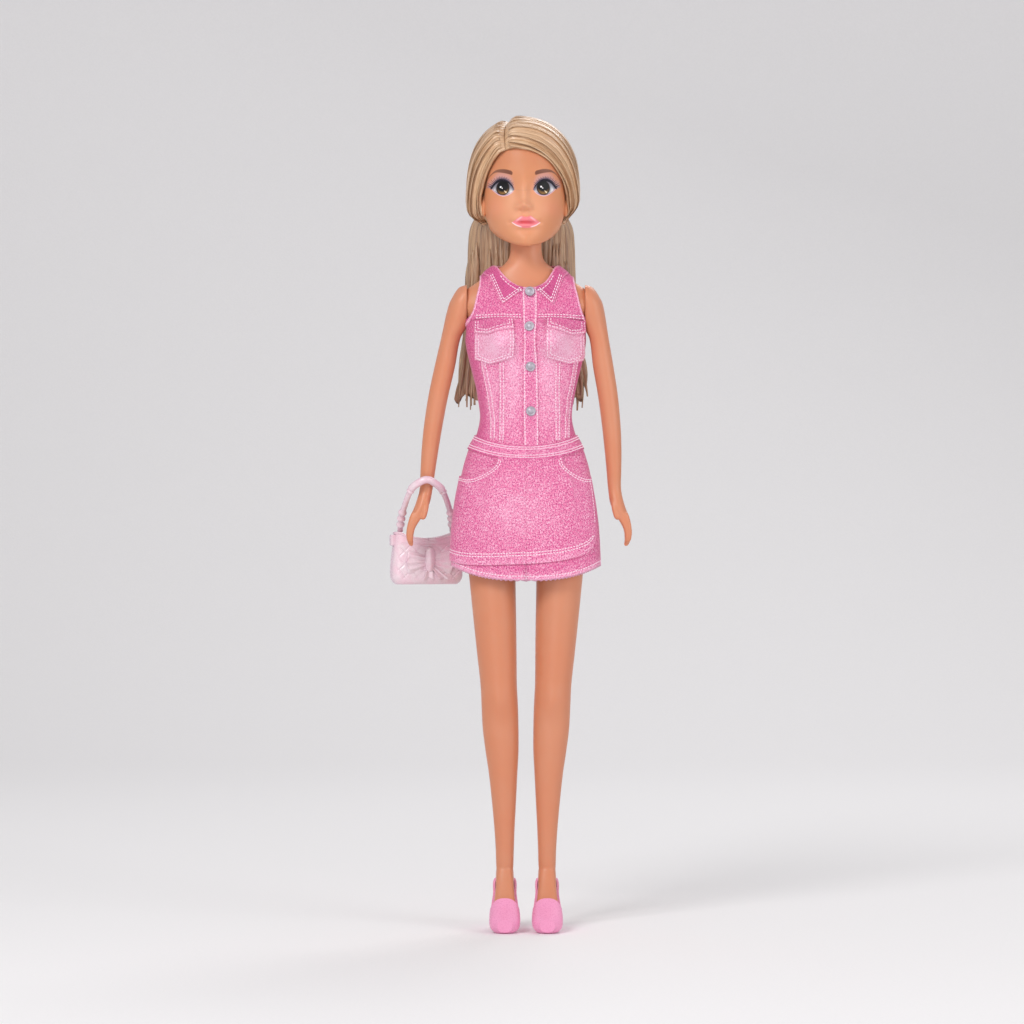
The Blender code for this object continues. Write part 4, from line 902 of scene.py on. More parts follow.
def head_point(u, v):
    """Point on the head; the columns stand closer together over the face."""
    turn = 2 * math.pi * u
    angle = turn - 0.35 * math.sin(turn)
    front_height, back_height, half_width, front, back = head_at(v)
    facing = math.cos(angle)
    across = half_width * math.sin(angle)
    depth = -(front if facing > 0 else back) * facing
    height = front_height + (back_height - front_height) * (1 - facing) / 2
    if facing > 0 and v > 0.1:
        depth -= face_relief(across, height) * min(1.0, 2 * facing)
    ahead = max(0.0, facing)
    across *= 1 - 0.14 * bump(height - chin_height - 1.9, 5.6) * ahead ** 0.5
    height -= 0.8 * bump(across, 7.5) * bump(height - chin_height - 1.0, 3.2) * ahead
    return at(across - 0.42 * smooth_step(height, 244.5, 251), depth, height)


def ear_point(u, v, sign):
    turn, tip = 2 * math.pi * u, math.pi * (v - 0.5)
    across = sign * (ear_across + 1.3 * math.cos(tip) * math.cos(turn)) - 0.4
    return at(across, -1.6 + 2.3 * math.cos(tip) * math.sin(turn), ear_height + 4.2 * math.sin(tip))


ears = [closed_form("ear", lambda u, v, sign=sign: ear_point(u, v, sign), 24, 16) for sign in (1, -1)]
head = join("head_face", [closed_form("head_face", head_point, 232, 210), *ears])

# %% [markdown]
# ## Painted face
# Eyes, brows and lips are printed on a real doll. Here the same is done with masks: a mask is a curve above
# and a curve below, written as sums on the head's own coordinates in millimetres. Both eyes share one set of
# sums, because the distance from the middle is taken without its sign. Only iris, pupil and sparkles use the
# signed distance, so that both eyes look and shine the same way.

# %% Face coordinates
face, tree, shader = new_material("painted_face")
place = coordinates(tree)
place_x, place_y, place_z = split_up(place)
face_x = calc("MULTIPLY_ADD", place_x, 1 / MM, -neck_joint.x / MM)
face_z = place_z * (1 / MM)
front_side = place_y.fade(-0.004, -0.006)
from_middle = face_x - eye_middle
outwards = abs(from_middle) - eye_reach
signed = outwards * calc("SIGN", from_middle)
rise = face_z - eye_height


def both(*masks):
    """All of several masks at once."""
    return functools.reduce(lambda first, second: first * second, masks)


def oval(across, height, middle_x, middle_z, half_x, half_z):
    """Distance from the middle of an oval, which is one at its edge."""
    first = (across - middle_x) / half_x
    second = (height - middle_z) / half_z
    return calc("SQRT", first * first + second * second)


def arch(across, middle, half, power, reach):
    """Curve that is reach high in the middle and comes down to zero at each end."""
    share = calc("MINIMUM", abs((across - middle) / half), 1.0)
    return (1.0 - share ** power) * reach


# %% Eye masks
lid_slope = (0.12, -0.16)
lid_middle = 0.2
lid_half = 4.05
upper_arch = (2.3, 2.9)
lower_arch = (1.9, 2.35)
pupil_shift = -0.22
eye_slope = calc("MULTIPLY_ADD", outwards, *lid_slope)
above_lid = rise - (eye_slope + arch(outwards, lid_middle, lid_half, *upper_arch))
above_low = rise - (eye_slope - arch(outwards, lid_middle, lid_half, *lower_arch))
opening = both(above_lid.fade(0.08, -0.08), above_low.fade(-0.08, 0.08))
iris_distance = oval(signed, rise, pupil_shift, 0.1, 2.4, 2.6)
iris = both(iris_distance.fade(1.03, 0.97), opening)
pupil = both(oval(signed, rise, pupil_shift, 0.75, 1.85, 2.0).fade(1.12, 0.86), opening)
sparkle = calc("MAXIMUM", oval(signed, rise, -1.0, 0.50, 0.32, 0.32).fade(1.25, 0.7),
               oval(signed, rise, -0.45, 0.05, 0.2, 0.2).fade(1.3, 0.6))
streak_run = signed * 0.76 + rise * -0.65
streak_edge = abs(signed * 0.65 + rise * 0.76 + 0.52)
streak = both(streak_run.fade(0.62, 0.85), streak_run.fade(1.95, 1.7),
              (streak_edge - streak_run.fade(0.6, 1.8, 0.06, 0.26)).fade(0.08, -0.06))
line_edge = abs(above_lid - 0.10) - outwards.fade(-3.0, 4.0, 0.30, 0.56)
lid_line = both(line_edge.fade(0.08, -0.08), outwards.fade(-4.0, -3.3), outwards.fade(5.0, 4.4))
low_line = both(abs(above_low + 0.20).fade(0.34, 0.12), outwards.fade(-3.9, -2.8), outwards.fade(5.2, 4.4))
low_rim = both(abs(above_low).fade(0.16, 0.04), outwards.fade(-3.6, -2.4), outwards.fade(4.6, 4.0))
shadow = both(above_lid.fade(-0.1, 0.3), above_lid.fade(4.4, 1.8), outwards.fade(-4.6, -2.4), outwards.fade(6.6, 4.6))
brow_fall = calc("MAXIMUM", outwards - 2.0, 0.0)
brow_curve = arch(outwards, 2.0, 5.1, 2.0, 1.05) + 5.15 - brow_fall * brow_fall * 0.15
brow_half = outwards.fade(-1.0, 6.2, 0.74, 0.13) * outwards.fade(-3.35, -2.7, 0.5, 1.0)
brow_edge = abs(rise - brow_curve) - brow_half
brow = both(brow_edge.fade(0.14, -0.16), outwards.fade(-3.4, -3.0), outwards.fade(6.3, 5.8))

# %% Lip masks
lip_half = 5.35
lip_x = abs(face_x)
lip_rise = face_z - lip_line
lip_bow = calc("MULTIPLY_ADD", lip_x * lip_x, 0.18, 2.05)
lip_top = calc("MINIMUM", lip_bow, (lip_half - lip_x) * 0.66)
lip_bottom = arch(face_x, 0.0, lip_half, 2.0, -1.95) + lip_x.fade(3.5, 5.5, 0.0, 0.25)
under_top = lip_top - lip_rise
over_bottom = lip_rise - lip_bottom
lips = both(under_top.fade(-0.10, 0.14), over_bottom.fade(-0.08, 0.14), lip_x.fade(5.4, 5.1))
lip_glint = calc("MAXIMUM", both(over_bottom.fade(0.62, 0.30), lip_x.fade(1.2, 2.2)),
                 both(under_top.fade(1.3, 0.5), under_top.fade(0.1, 0.5, 0.0, 0.6), lip_x.fade(4.2, 2.6),
                      lip_x.fade(1.0, 2.0)))
lip_seam = both(abs(lip_rise - 0.05).fade(0.95, 0.15), lip_x.fade(4.2, 1.5))

# %% Face colours
made = place_group(tree, skin_group, {"Vector": place, "Tone": (0.67, 0.29, 0.150, 1)})
blush = oval(abs(from_middle), face_z, 10.0, 258.5, 5.0, 5.0).fade(1.1, 0.1, 0.0, 0.22)
# Painted highlight: a warm, lighter patch over the nose, mouth, cheeks and chin.
lower_face_painted_highlight = oval(from_middle, face_z, 0.0, 257.0, 12.0, 12.0).fade(1.15, 0.2, 0.0, 0.45)
# Painted shadow of the upper lid and lashes: the eye white darkens towards the lid.
white = mix(above_lid.fade(-2.6, -0.3), (0.80, 0.76, 0.80, 1), (0.16, 0.15, 0.20, 1))
white = mix(iris_distance.fade(1.35, 1.05, 0.0, 0.55), white, (0.10, 0.09, 0.11, 1))
spokes = noise_value(place, 2600.0)
amber = mix(rise.fade(-2.3, 0.3), (0.26, 0.135, 0.04, 1), (0.015, 0.010, 0.008, 1))
amber = mix(spokes.fade(0.45, 0.7, 0.0, 0.5), amber, (0.60, 0.38, 0.12, 1), "MULTIPLY")
amber = mix(iris_distance.fade(0.78, 0.95), amber, (0.025, 0.015, 0.012, 1))
lip_tone = mix(lip_rise.fade(-1.0, 1.0), (0.90, 0.26, 0.29, 1), (0.86, 0.24, 0.27, 1))
lip_tone = mix(lip_glint * 0.85, lip_tone, (1.0, 0.74, 0.78, 1))
lip_tone = mix(lip_seam * 0.85, lip_tone, (0.66, 0.09, 0.11, 1))
color = mix(both(blush, front_side), made["Color"], (0.84, 0.27, 0.20, 1))
color = mix(both(lower_face_painted_highlight, front_side), color, (0.82, 0.42, 0.27, 1))
# Painted shade: the forehead darkens towards the hairline.
color = mix(face_z.fade(266.0, 276.0, 0.0, 0.45), color, (0.52, 0.20, 0.11, 1))
# The print goes on in layers, from the skin up: where, and in which colour
layers = (
    (both(shadow, above_lid.fade(4.0, 0.0, 0.40, 0.80)), (0.62, 0.34, 0.34, 1)),
    (both(shadow, above_lid.fade(1.6, 0.3)) * 0.85, (0.22, 0.18, 0.26, 1)),
    (brow, mix(outwards.fade(-3.0, 4.5), (0.19, 0.072, 0.045, 1), (0.26, 0.115, 0.075, 1))),
    (opening, white),
    (iris, amber),
    (pupil, (0.004, 0.004, 0.005, 1)),
    (both(streak, iris), (0.90, 0.68, 0.42, 1)),
    (both(sparkle, iris), (1.0, 1.0, 1.0, 1)),
    (low_line, (0.74, 0.46, 0.54, 1)),
    (both(low_rim, iris_distance.fade(1.0, 1.3, 0.9, 0.45)), (0.10, 0.06, 0.09, 1)),
    (lid_line, (0.012, 0.010, 0.016, 1)),
    (lips, lip_tone),
)
for mask, tone in layers:
    color = mix(both(mask, front_side), color, tone)
satin = calc("MAXIMUM", both(lips, front_side) * 0.8, both(opening, front_side))
feed(shader, {"Base Color": color, "Roughness": mix(satin, made["Roughness"], (0.42, 0.42, 0.42, 1)),
              "Normal": bumped(made["Height"], *skin_relief), "Specular IOR Level": 0.2, **skin_values})
head_tree = surface_tree(head)
finish(head, face, "face_vinyl", "head", "head")

# %% [markdown]
# ## Lashes
# The lashes are the only part of the print that stands out past the eye's outline, so they are small tapered
# strokes that lie on the face. Each foot is set on the lid's curve, and a ray from the front finds the skin.

# %% Lashes
lash_black = speckled("lash_black", ((0.012, 0.008, 0.022, 1), (0.030, 0.020, 0.045, 1)), 0.45, 3000.0)
lash_count = 23
lash_taper = ((0.0, 1.0), (0.35, 0.8), (0.7, 0.45), (1.0, 0.08))


def lid_curve(out):
    """Height of the upper lid's line."""
    power, reach = upper_arch
    return lid_slope[0] * out + lid_slope[1] + reach * (1 - min(1.0, abs((out - lid_middle) / lid_half)) ** power)


def on_face(out, height, sign):
    """Skin under a place given from the middle of the eye outwards."""
    start = at(eye_middle + sign * (eye_reach + out), -60.0, eye_height + height)
    return head_tree.ray_cast(start, Vector((0, 1, 0)))[:2]


lashes = []
for sign in (1, -1):
    for index in range(lash_count):
        share = index / (lash_count - 1)
        foot = -3.0 + 7.0 * share
        lean = math.radians(-38 + 116 * share ** 1.2)
        length = 1.0 + 0.35 * (index % 2) + 0.95 * share ** 3
        path = []
        for part, taper in lash_taper:
            swing = lean - 0.25 * part
            spot, normal = on_face(foot + math.sin(swing) * length * part,
                                   lid_curve(foot) + 0.1 + math.cos(swing) * length * part, sign)
            path.append((spot + normal * 0.03 * MM, normal, (0.12 + 0.08 * share) * taper, 0.05))
        lashes.append(path)
finish(tubes("face_lashes", lashes, 6), lash_black, "face_vinyl", "head")

# %% [markdown]
# ## Hair
# Rooted doll hair is combed flat from a parting, so all of it follows a few flow lines. Three guide lines on
# each side, along the hairline, over the ear and down the back, are blended into a sheet whose one direction
# runs along the strands. That gives the strand texture its direction, and ridges across it make the combed
# locks. Separate locks lie on top, and a long flat fall hangs behind the shoulders.

# %% Hair finish
hair_group, given, out = make_group(
    "combed_strands",
    [("Vector", "NodeSocketVector", None), ("Dark", "NodeSocketColor", (0.36, 0.185, 0.095, 1)),
     ("Middle", "NodeSocketColor", (0.62, 0.37, 0.20, 1)), ("Light", "NodeSocketColor", (0.88, 0.64, 0.42, 1))],
    [("Color", "NodeSocketColor"), ("Height", "NodeSocketFloat")],
)
drawn = stretched(given["Vector"], (1.0, 0.022, 1.0))
strands = noise_value(drawn, 5200.0, 2.0, 0.6)
locks = noise_value(drawn, 1000.0)
color = mix(locks.fade(0.30, 0.62), given["Dark"], given["Middle"])
color = mix(strands.fade(0.44, 0.68, 0.0, 0.80), color, given["Light"])
color = mix(strands.fade(0.42, 0.28, 0.0, 0.55), color, given["Dark"])
feed(out, {"Color": color, "Height": calc("MULTIPLY_ADD", locks, 0.7, strands)})


def make_hair_finish(name, **tones):
    material, tree, shader = new_material(name)
    made = place_group(tree, hair_group, {"Vector": coordinates(tree, "UV"), **tones})
    feed(shader, {"Base Color": made["Color"], "Normal": bumped(made["Height"], 0.00012, 0.7), "Roughness": 0.30,
                  "Specular IOR Level": 0.75})
    return material


hair_blonde = make_hair_finish("hair_blonde")
# The fall is the same blonde hair with darker tones: painted shade where it hangs behind the head and shoulders.
hair_fall_painted_shade = make_hair_finish("hair_blonde_fall_painted_shade", Dark=(0.21, 0.110, 0.060, 1), Middle=(0.41, 0.240, 0.130, 1),
                               Light=(0.63, 0.440, 0.270, 1))

# %% Hair form
hair_middle = -1.0
hair_low = 236.0
hair_height = 56.2
hair_at = reader([
    (236.0, 18.0, 8.0, 15.2), (247.0, 18.85, 9.3, 15.84), (251.98, 19.67, 11.9, 17.42), (261.95, 20.5, 14.88, 19.01),
    (271.92, 20.0, 17.48, 19.8), (279.16, 18.23, 18.4, 19.01), (285.05, 14.83, 16.2, 16.53),
    (289.58, 9.48, 10.5, 10.99), (291.62, 4.12, 4.46, 4.95), (292.2, 0.05, 0.05, 0.05),
])
hair_core = at(hair_middle, 0, 268.0)
# Distance from which a ray looks back for the skin
outside = 30.0


def hair_form_point(u, v):
    height = hair_low + hair_height * (1 - (1 - v) ** 1.6)
    half_width, front, back = hair_at(height)
    facing = math.cos(2 * math.pi * u)
    return at(hair_middle + half_width * math.sin(2 * math.pi * u), -(front if facing > 0 else back) * facing, height)


hair_form = closed_form("hair_form", hair_form_point, 72, 60)
hair_form_tree = surface_tree(hair_form)
bpy.data.objects.remove(hair_form)
# Guide lines from the parting down, as places in the doll's own frame: hairline, over the ear, down the back
guides = {
    1: (((-7.7, -15.6, 279.3), (-2.4, -16.6, 279.2), (3.9, -15.6, 277.6), (9.6, -12.0, 273.4), (13.6, -8.0, 267.6),
         (14.8, -4.0, 260.6), (12.6, 2.0, 253.4)),
        ((-7.0, -3, 290.5), (0, -2, 292), (8.5, -1, 289), (15, 0, 282.5), (18.6, 1.5, 274), (19.4, 3.5, 264),
         (15.5, 9.5, 252.8)),
        ((-5, 12, 288), (-3.0, 15, 285.5), (-2.0, 18, 279), (-1.5, 19.5, 271.5), (-1.5, 19.8, 264.5),
         (-1.5, 19, 258), (-1.5, 18, 251.5))),
    -1: (((-7.7, -15.6, 279.3), (-11.0, -14.0, 276.6), (-13.9, -10.6, 271.6), (-15.6, -7.2, 266.2),
          (-16.4, -4.6, 260.8), (-15.4, -1.5, 257.0), (-12.8, 3.5, 254.2)),
         ((-7.0, -3, 290.5), (-11, -2.5, 288), (-15, -1.5, 284), (-18.5, 0, 278), (-20.8, 1.5, 270),
          (-21.4, 3.5, 262.5), (-17.0, 9.5, 252.8)),
         ((-3, 12, 288), (-1.5, 14.8, 285.8), (-0.5, 18, 279), (0.2, 19.5, 271.5), (0.5, 19.8, 264.5),
          (0.5, 19, 258), (0.5, 18, 251.5))),
}


def ridge(value):
    return 1 - abs(math.sin(math.pi * value)) ** 0.7


def make_flow(sign):
    """Function of (across the strands, along them) that gives a point of the combed hair on one side."""
    lines = []
    for index, line in enumerate(guides[sign]):
        values = [index / 2]
        for point in line:
            way = at(*point) - hair_core
            values += [*way.normalized(), way.length / MM]
        lines.append(tuple(values))
    across_at = reader(lines)

    @functools.lru_cache(maxsize=None)
    def along_at(k):
        values = across_at(k)
        return reader([(index / 6, *values[4 * index:4 * index + 4]) for index in range(7)])

    def flow(k, t, lift=0.0):
        x, y, z, edge_radius = along_at(round(k, 5))(t)
        way = Vector((x, y, z)).normalized()
        hit = hair_form_tree.ray_cast(hair_core, way)[3] / MM
        skin = head_tree.ray_cast(hair_core + way * outside * MM, -way)
        skin_radius = outside - skin[3] / MM if skin[0] else hit - 3
        skin_radius += (min(hit - 3, skin_radius) - skin_radius) * smooth_step(-z, 0.1, 0.45)
        fullness = smooth_step(k, 0.0, 0.22)
        radius = edge_radius + (hit - edge_radius) * fullness
        rooted = smooth_step(t, 0.0, 0.14) ** 0.6
        radius = max(skin_radius + 0.5, (skin_radius + 0.9) + (radius - skin_radius - 0.9) * rooted)
        radius -= 4.5 * smooth_step(t, 0.80, 1.0) ** 1.5 * (1 - smooth_step(k, 0.62, 0.9)) * smooth_step(k, 0.0, 0.15)
        shift = 0.8 * noise.noise(Vector((k * 9.0, t * 1.6, sign * 3.0)))
        comb = 0.10 * ridge(k * 13 + shift) + 0.07 * ridge(k * 47 + 2.0 * shift)
        radius -= comb * smooth_step(t, 0.02, 0.25) * (0.35 + 0.65 * fullness)
        tuft = 0.45 * math.sin(k * (60 if sign < 0 else 34) + 3 * shift) ** 2 + (0.25 if sign > 0 else 0.0)
        radius += tuft * bump(t - 0.075, 0.05) * smooth_step(k, 0.01, 0.05)
        return hair_core + way * (radius + lift) * MM

    return flow


# %% Side hair
lock_random = np.random.default_rng(11)
lock_count = 18
lock_steps = 26
for side, sign in SIDES:
    flow = make_flow(sign)
    cap = sheet("side_hair_" + side,
                lambda u, v, flow=flow, sign=sign: flow(u if sign > 0 else 1 - u, 1 - v), 190, 90, (62.0, 52.0))
    thicken(cap, 0.9, -1.0)
    finish(cap, hair_blonde, "hair", "head", "hair_" + side)
    lock_paths = []
    for index in range(lock_count):
        k = 0.03 + 0.94 * (index + 0.6 * lock_random.random()) / lock_count
        drift = 0.05 * (lock_random.random() - 0.5)
        half_width = 1.0 + 1.5 * lock_random.random()
        path = []
        for step in range(lock_steps + 1):
            t = 0.05 + 0.93 * step / lock_steps
            here = min(max(k + drift * math.sin(math.pi * t), 0.0), 1.0)
            spot = flow(here, t, 0.05)
            taper = math.sin(math.pi * min(1.0, 0.08 + 0.9 * step / lock_steps)) ** 0.5
            path.append((spot, (spot - hair_core).normalized(), half_width * taper, 0.11 * taper))
        lock_paths.append(path)
    finish(tubes("side_locks_" + side, lock_paths, 8), hair_blonde, "hair", "head")

# %% Long fall
fall_middle = -1.6
fall_low = 188.0
fall_top = 259.0
fall_square = 0.62
fall_at = reader([
    (259.0, 15.5, 6.5, 9.0), (253.0, 18.6, 7.2, 9.6), (246.7, 19.4, 8.6, 8.6), (239.9, 19.6, 9.8, 7.35),
    (230.7, 19.9, 10.76, 5.88), (215.0, 20.4, 11.7, 4.4), (204.0, 21.6, 11.7, 3.9), (195.0, 23.0, 11.8, 3.3),
    (188.0, 23.4, 12.0, 1.6),
])


def fall_point(u, v):
    """Point on the fall; u runs round it from the middle of its front."""
    height = fall_low + (fall_top - fall_low) * v
    angle = 2 * math.pi * u
    half_width, front, thickness = fall_at(height)
    facing = signed_power(math.cos(angle), fall_square)
    across = half_width * signed_power(math.sin(angle), fall_square)
    lock = across * 0.42 + 1.1 * noise.noise(Vector((across / 7.0, height / 26.0, 1.0)))
    comb = (0.45 * ridge(lock) + 0.18 * ridge(2.7 * lock)) * min(1.0, 3 * abs(facing))
    wave = 1.1 * math.sin(height / 7.0 + across / 8.0) * smooth_step(215 - height, 0, 25)
    height += (4.6 * noise.noise(Vector((across / 3.4, facing, 5.0))) + 3.6) * (1 - v) ** 3
    thickness *= 1 - 0.6 * (1 - v) ** 8
    depth = front + thickness / 2 - facing * (thickness / 2 - comb)
    return at(fall_middle + across + wave, depth, height)


fall = closed_form("long_hair_fall", fall_point, 300, 90, (112.0, 71.0))
neck_bend = ("torso", Vector((neck_joint.x, 0, 0.251)), Vector((neck_joint.x, 0, 0.224)))
finish(fall, hair_fall_painted_shade, "hair", "head", "hair_back", bend=neck_bend)

# %% Locks of the fall
face_locks = 32
fall_steps = 24
fall_paths = []
for index in range(2 * face_locks):
    across_share = -1 + 2 * (index % face_locks + 0.5 + 0.5 * (lock_random.random() - 0.5)) / face_locks
    way = 1 if index >= face_locks else -1
    end = 184.0 + 9.0 * lock_random.random() + 3 * abs(across_share) ** 3
    start = 248.0 - 20 * lock_random.random()
    curl = (lock_random.random() - 0.5) * 4.5
    half_width = 0.9 + 0.8 * lock_random.random()
    path = []
    for step in range(fall_steps + 1):
        share = step / fall_steps
        height = start + (end - start) * share
        half, front, thickness = fall_at(height)
        loose = smooth_step(share, 0.45, 1.0)
        across = half * across_share * (1 + 0.05 * smooth_step(share, 0.6, 1.0))
        wave = (0.9 * math.sin(height / 8.5 + across / 9.0) + curl * math.sin(3.2 * share)) * loose
        depth = front + (thickness + 0.1 if way > 0 else -0.1) - 0.3 * way
        depth += (0.8 if way > 0 else -0.1) * math.sin(5 * share + index) * smooth_step(share, 0.4, 1.0)
        taper = min(1.0, share * 6 + 0.15) * (1 - 0.8 * smooth_step(share, 0.7, 1.0))
        spot = at(fall_middle + across + wave, depth, height)
        path.append((spot, Vector((0, way, 0)), half_width * taper, 0.5 * taper))
    fall_paths.append(path)
finish(tubes("long_hair_locks", fall_paths, 8), hair_fall_painted_shade, "hair", "head", bend=neck_bend)

# %% [markdown]
# ## Denim
# The dress is sewn from a light pink twill with a washed print. Seen close it has diagonal ribs, dark and
# white flecks where single yarns show, and broad pale clouds where it was rubbed. All of that follows the
# cloth's own UV map, which is in metres, so the ribs keep their size. A "shade" attribute on each piece says
# where the cloth is deeper in colour (above zero) or rubbed paler (below zero).

# %% Denim group
twill_pitch = 0.00080
twill_group, given, out = make_group(
    "washed_twill",
    [("Vector", "NodeSocketVector", None), ("Shade", "NodeSocketFloat", 0.0),
     ("Deep", "NodeSocketColor", (0.50, 0.045, 0.20, 1)), ("Middle", "NodeSocketColor", (0.78, 0.175, 0.365, 1)),
     ("Pale", "NodeSocketColor", (0.92, 0.55, 0.71, 1))],
    [("Color", "NodeSocketColor"), ("Height", "NodeSocketFloat")],
)
place = given["Vector"]
place_x, place_y, place_z = split_up(place)
wobble = noise_value(place, 900.0, 1.0)
phase = calc("MULTIPLY_ADD", place_x + place_y, 2 * math.pi / twill_pitch, wobble * 1.5)
ribs = calc("MULTIPLY_ADD", calc("SINE", phase), 0.5, 0.5)
slub = noise_value(stretched(place, (1.0, 0.55, 1.0)), 2250.0, 1.0, 0.6)
flecks = noise_value(place, 2100.0, 1.0, 0.6)
clouds = noise_value(place, 240.0, 3.0)
pale = ribs * 0.22 + slub.fade(0.46, 0.64, 0.0, 0.70) + clouds.fade(0.35, 0.7, -0.08, 0.10)
pale = calc("SUBTRACT", pale, given["Shade"], clamp=True)
deep = flecks.fade(0.50, 0.65, 0.0, 0.95) + given["Shade"]
deep = calc("SUBTRACT", deep, clouds.fade(0.4, 0.75, 0.0, 0.06), clamp=True)
feed(out, {"Color": mix(deep, mix(pale, given["Middle"], given["Pale"]), given["Deep"]),
           "Height": calc("MULTIPLY_ADD", ribs, 0.6, flecks * 0.8)})


# %% Cloth finishes
def make_denim(name, added_shade):
    material, tree, shader = new_material(name)
    attribute = Wire(add_node(tree, "ShaderNodeAttribute", attribute_name="shade").outputs["Fac"])
    made = place_group(tree, twill_group, {"Vector": coordinates(tree, "UV"), "Shade": attribute + added_shade})
    feed(shader, {"Base Color": made["Color"], "Normal": bumped(made["Height"], 0.00012, 0.8), "Roughness": 0.88,
                  "Specular IOR Level": 0.25, "Sheen Weight": 0.25, "Sheen Roughness": 0.5})
    return material


denim = make_denim("pink_denim", 0.0)
denim_trim = make_denim("pink_denim_trim", 0.10)
denim_edge = make_denim("pink_denim_edge", -0.25)
thread = speckled("stitch_thread", ((0.93, 0.62, 0.76, 1), (1.0, 0.86, 0.93, 1)), 0.75, 5200.0, relief=(0.00005, 0.6))

# %% [markdown]
# ## The cut of the dress
# The dress hangs on the torso with a little ease: more at the sides of the chest and at the waist, where the
# cloth doesn't follow the body. One function gives the inner face of the cloth; everything that is sewn on
# is laid over the same function, a little further out. Small puckers keep the cloth from looking like a shell.

# %% Dress surface
dress_middle = 1.3
cloth = 0.65
trim_lift = 0.70
trim = 0.42
ease_at = reader([(165, 0.4, 0.4), (176, 0.4, 0.45), (184, 1.5, 0.6), (196, 1.6, 0.7), (208, 1.9, 0.55),
                  (216, 1.3, 0.5), (222, 0.6, 0.5), (232, 0.5, 0.45), (240, 0.5, 0.45)])


def dress_point(angle, height):
    """Inner face of the dress above the waistband."""
    half_width, front, back = torso_at(height)
    side_ease, ease = ease_at(height)
    facing = math.cos(angle)
    across = (half_width + side_ease) * math.sin(angle)
    depth = -((front if facing > 0 else back) + ease) * facing
    if facing > 0:
        swell = bump(abs(across) - bust_spacing, bust_spread) * bump(height - bust_height, bust_spread)
        depth -= (bust_reach + bust_ease) * swell * facing ** 0.5
    pucker = noise.noise(Vector((across / 6.0, facing * 2.0, height / 9.0 + 7.0)))
    return at(across * (1 + 0.012 * pucker), depth - 0.22 * pucker * facing, height)


def raised(surface, first, second, lift):
    """Point above a surface that is given by an angle and a height, and the surface's normal there."""
    across = surface(first + 0.01, second) - surface(first - 0.01, second)
    upward = surface(first, second + 0.1) - surface(first, second - 0.1)
    normal = across.cross(upward).normalized()
    return surface(first, second) + normal * lift * MM, normal


def angle_at(across, height):
    """Angle on the dress front at a distance from the doll's middle."""
    half_width = torso_at(height)[0] + ease_at(height)[0]
    return math.asin(max(-1.0, min(1.0, across / half_width)))


# %% Places on the bodice
band_top = 177.1
band_bottom = 172.0
band_dip = 3.6
armhole_at = reader([(216.0, 21.6), (217.5, 20.9), (219.5, 20.0), (223.0, 18.9), (227.0, 17.9), (230.5, 17.0),
                     (233.0, 16.6), (236.5, 16.2)])
neckline_low = 229.6
neckline_at = reader([(229.6, 0.0), (229.9, 2.4), (230.9, 5.0), (232.4, 7.2), (234.2, 8.7), (236.0, 9.8),
                      (237.4, 10.2)])
bodice_top = 237.0
yoke_low = 218.8


def band_height(angle, share):
    return band_bottom + share * (band_top - band_bottom) - band_dip * math.cos(angle) ** 2


def side_angle(height, sign=1):
    """Angle where the bodice ends at the armhole; a quarter turn where it has none."""
    reach = armhole_at(height)[0] - (0.9 * smooth_step(height, 216, 222) if sign < 0 else 0)
    return angle_at(reach, height) if height > 216 else math.pi / 2


def neck_angle(height):
    return angle_at(neckline_at(height)[0], height) if height > neckline_low else 0.0


def cloud(across, height, middle_x, middle_z, spread_x, spread_z):
    return bump(across - middle_x, spread_x) * bump(height - middle_z, spread_z)


def bodice_shade(angle, height):
    """Deeper at the sides and under the flaps, paler on the pockets and in the middle."""
    across = (torso_at(height)[0] + 1) * math.sin(angle) - dress_middle
    shade = 0.42 * smooth_step(abs(math.sin(angle)), 0.72, 1.0) + 0.05
    shade -= 0.26 * cloud(abs(across), height, 6.5, 206.0, 3.4, 8.0)
    shade -= 0.28 * cloud(abs(across), height, 6.0, 194.0, 4.5, 13.0)
    shade -= 0.26 * cloud(abs(across), height, 13.0, 190.0, 1.8, 11.0)
    shade += 0.12 * cloud(abs(across), height, 9.0, 217.0, 7.0, 2.5)
    return shade


# %% [markdown]
# ## Bodice
# The bodice is cut in three: two fronts and a back. The grid of each front runs from the middle to the
# armhole, so that its edges are clean curves and no cloth has to be cut away afterwards. A second layer, the
# yoke, covers the shoulders, and strips are sewn over the two long seams below the pockets.

# %% Bodice pieces
bodice_rows = 96


def front_half(name, sign, low, lift, thickness, material):
    """Half front of the dress from a height up; the lowest edge follows the waistband."""
    start = max(band_height(0.0, 0.5), low)

    def place(u, v):
        height = start + (bodice_top - start) * v
        low_angle = neck_angle(height)
        share = 1 - u if sign < 0 else u
        angle = sign * (low_angle + (side_angle(height, sign) - low_angle) * share)
        drop = band_height(angle, 0.5) - band_height(0.0, 0.5) if low < band_top else 0.0
        return angle, height + drop * (1 - v)

    piece = sheet(name, lambda u, v: raised(dress_point, *place(u, v), lift)[0], 72, bodice_rows,
                  shade=lambda u, v: bodice_shade(*place(u, v)))
    thicken(piece, thickness)
    return finish(piece, material, "denim", "torso", "bodice")


for side, sign in SIDES:
    front_half("bodice_front_" + side, sign, 170.0, 0.0, cloth, denim)
    front_half("bodice_yoke_" + side, sign, yoke_low, cloth, 0.28, denim_trim)
back_low = 174.5


def back_place(u, v):
    height = back_low + (bodice_top - back_low) * v
    angle = math.pi + (2 * u - 1) * side_angle(height, 1 if u < 0.5 else -1)
    return angle, height + (band_height(angle, 0.5) - back_low) * (1 - v)


back = sheet("bodice_back", lambda u, v: dress_point(*back_place(u, v)), 140, bodice_rows,
             shade=lambda u, v: bodice_shade(*back_place(u, v)) * 0.7)
thicken(back, cloth)
finish(back, denim, "denim", "torso", "bodice")

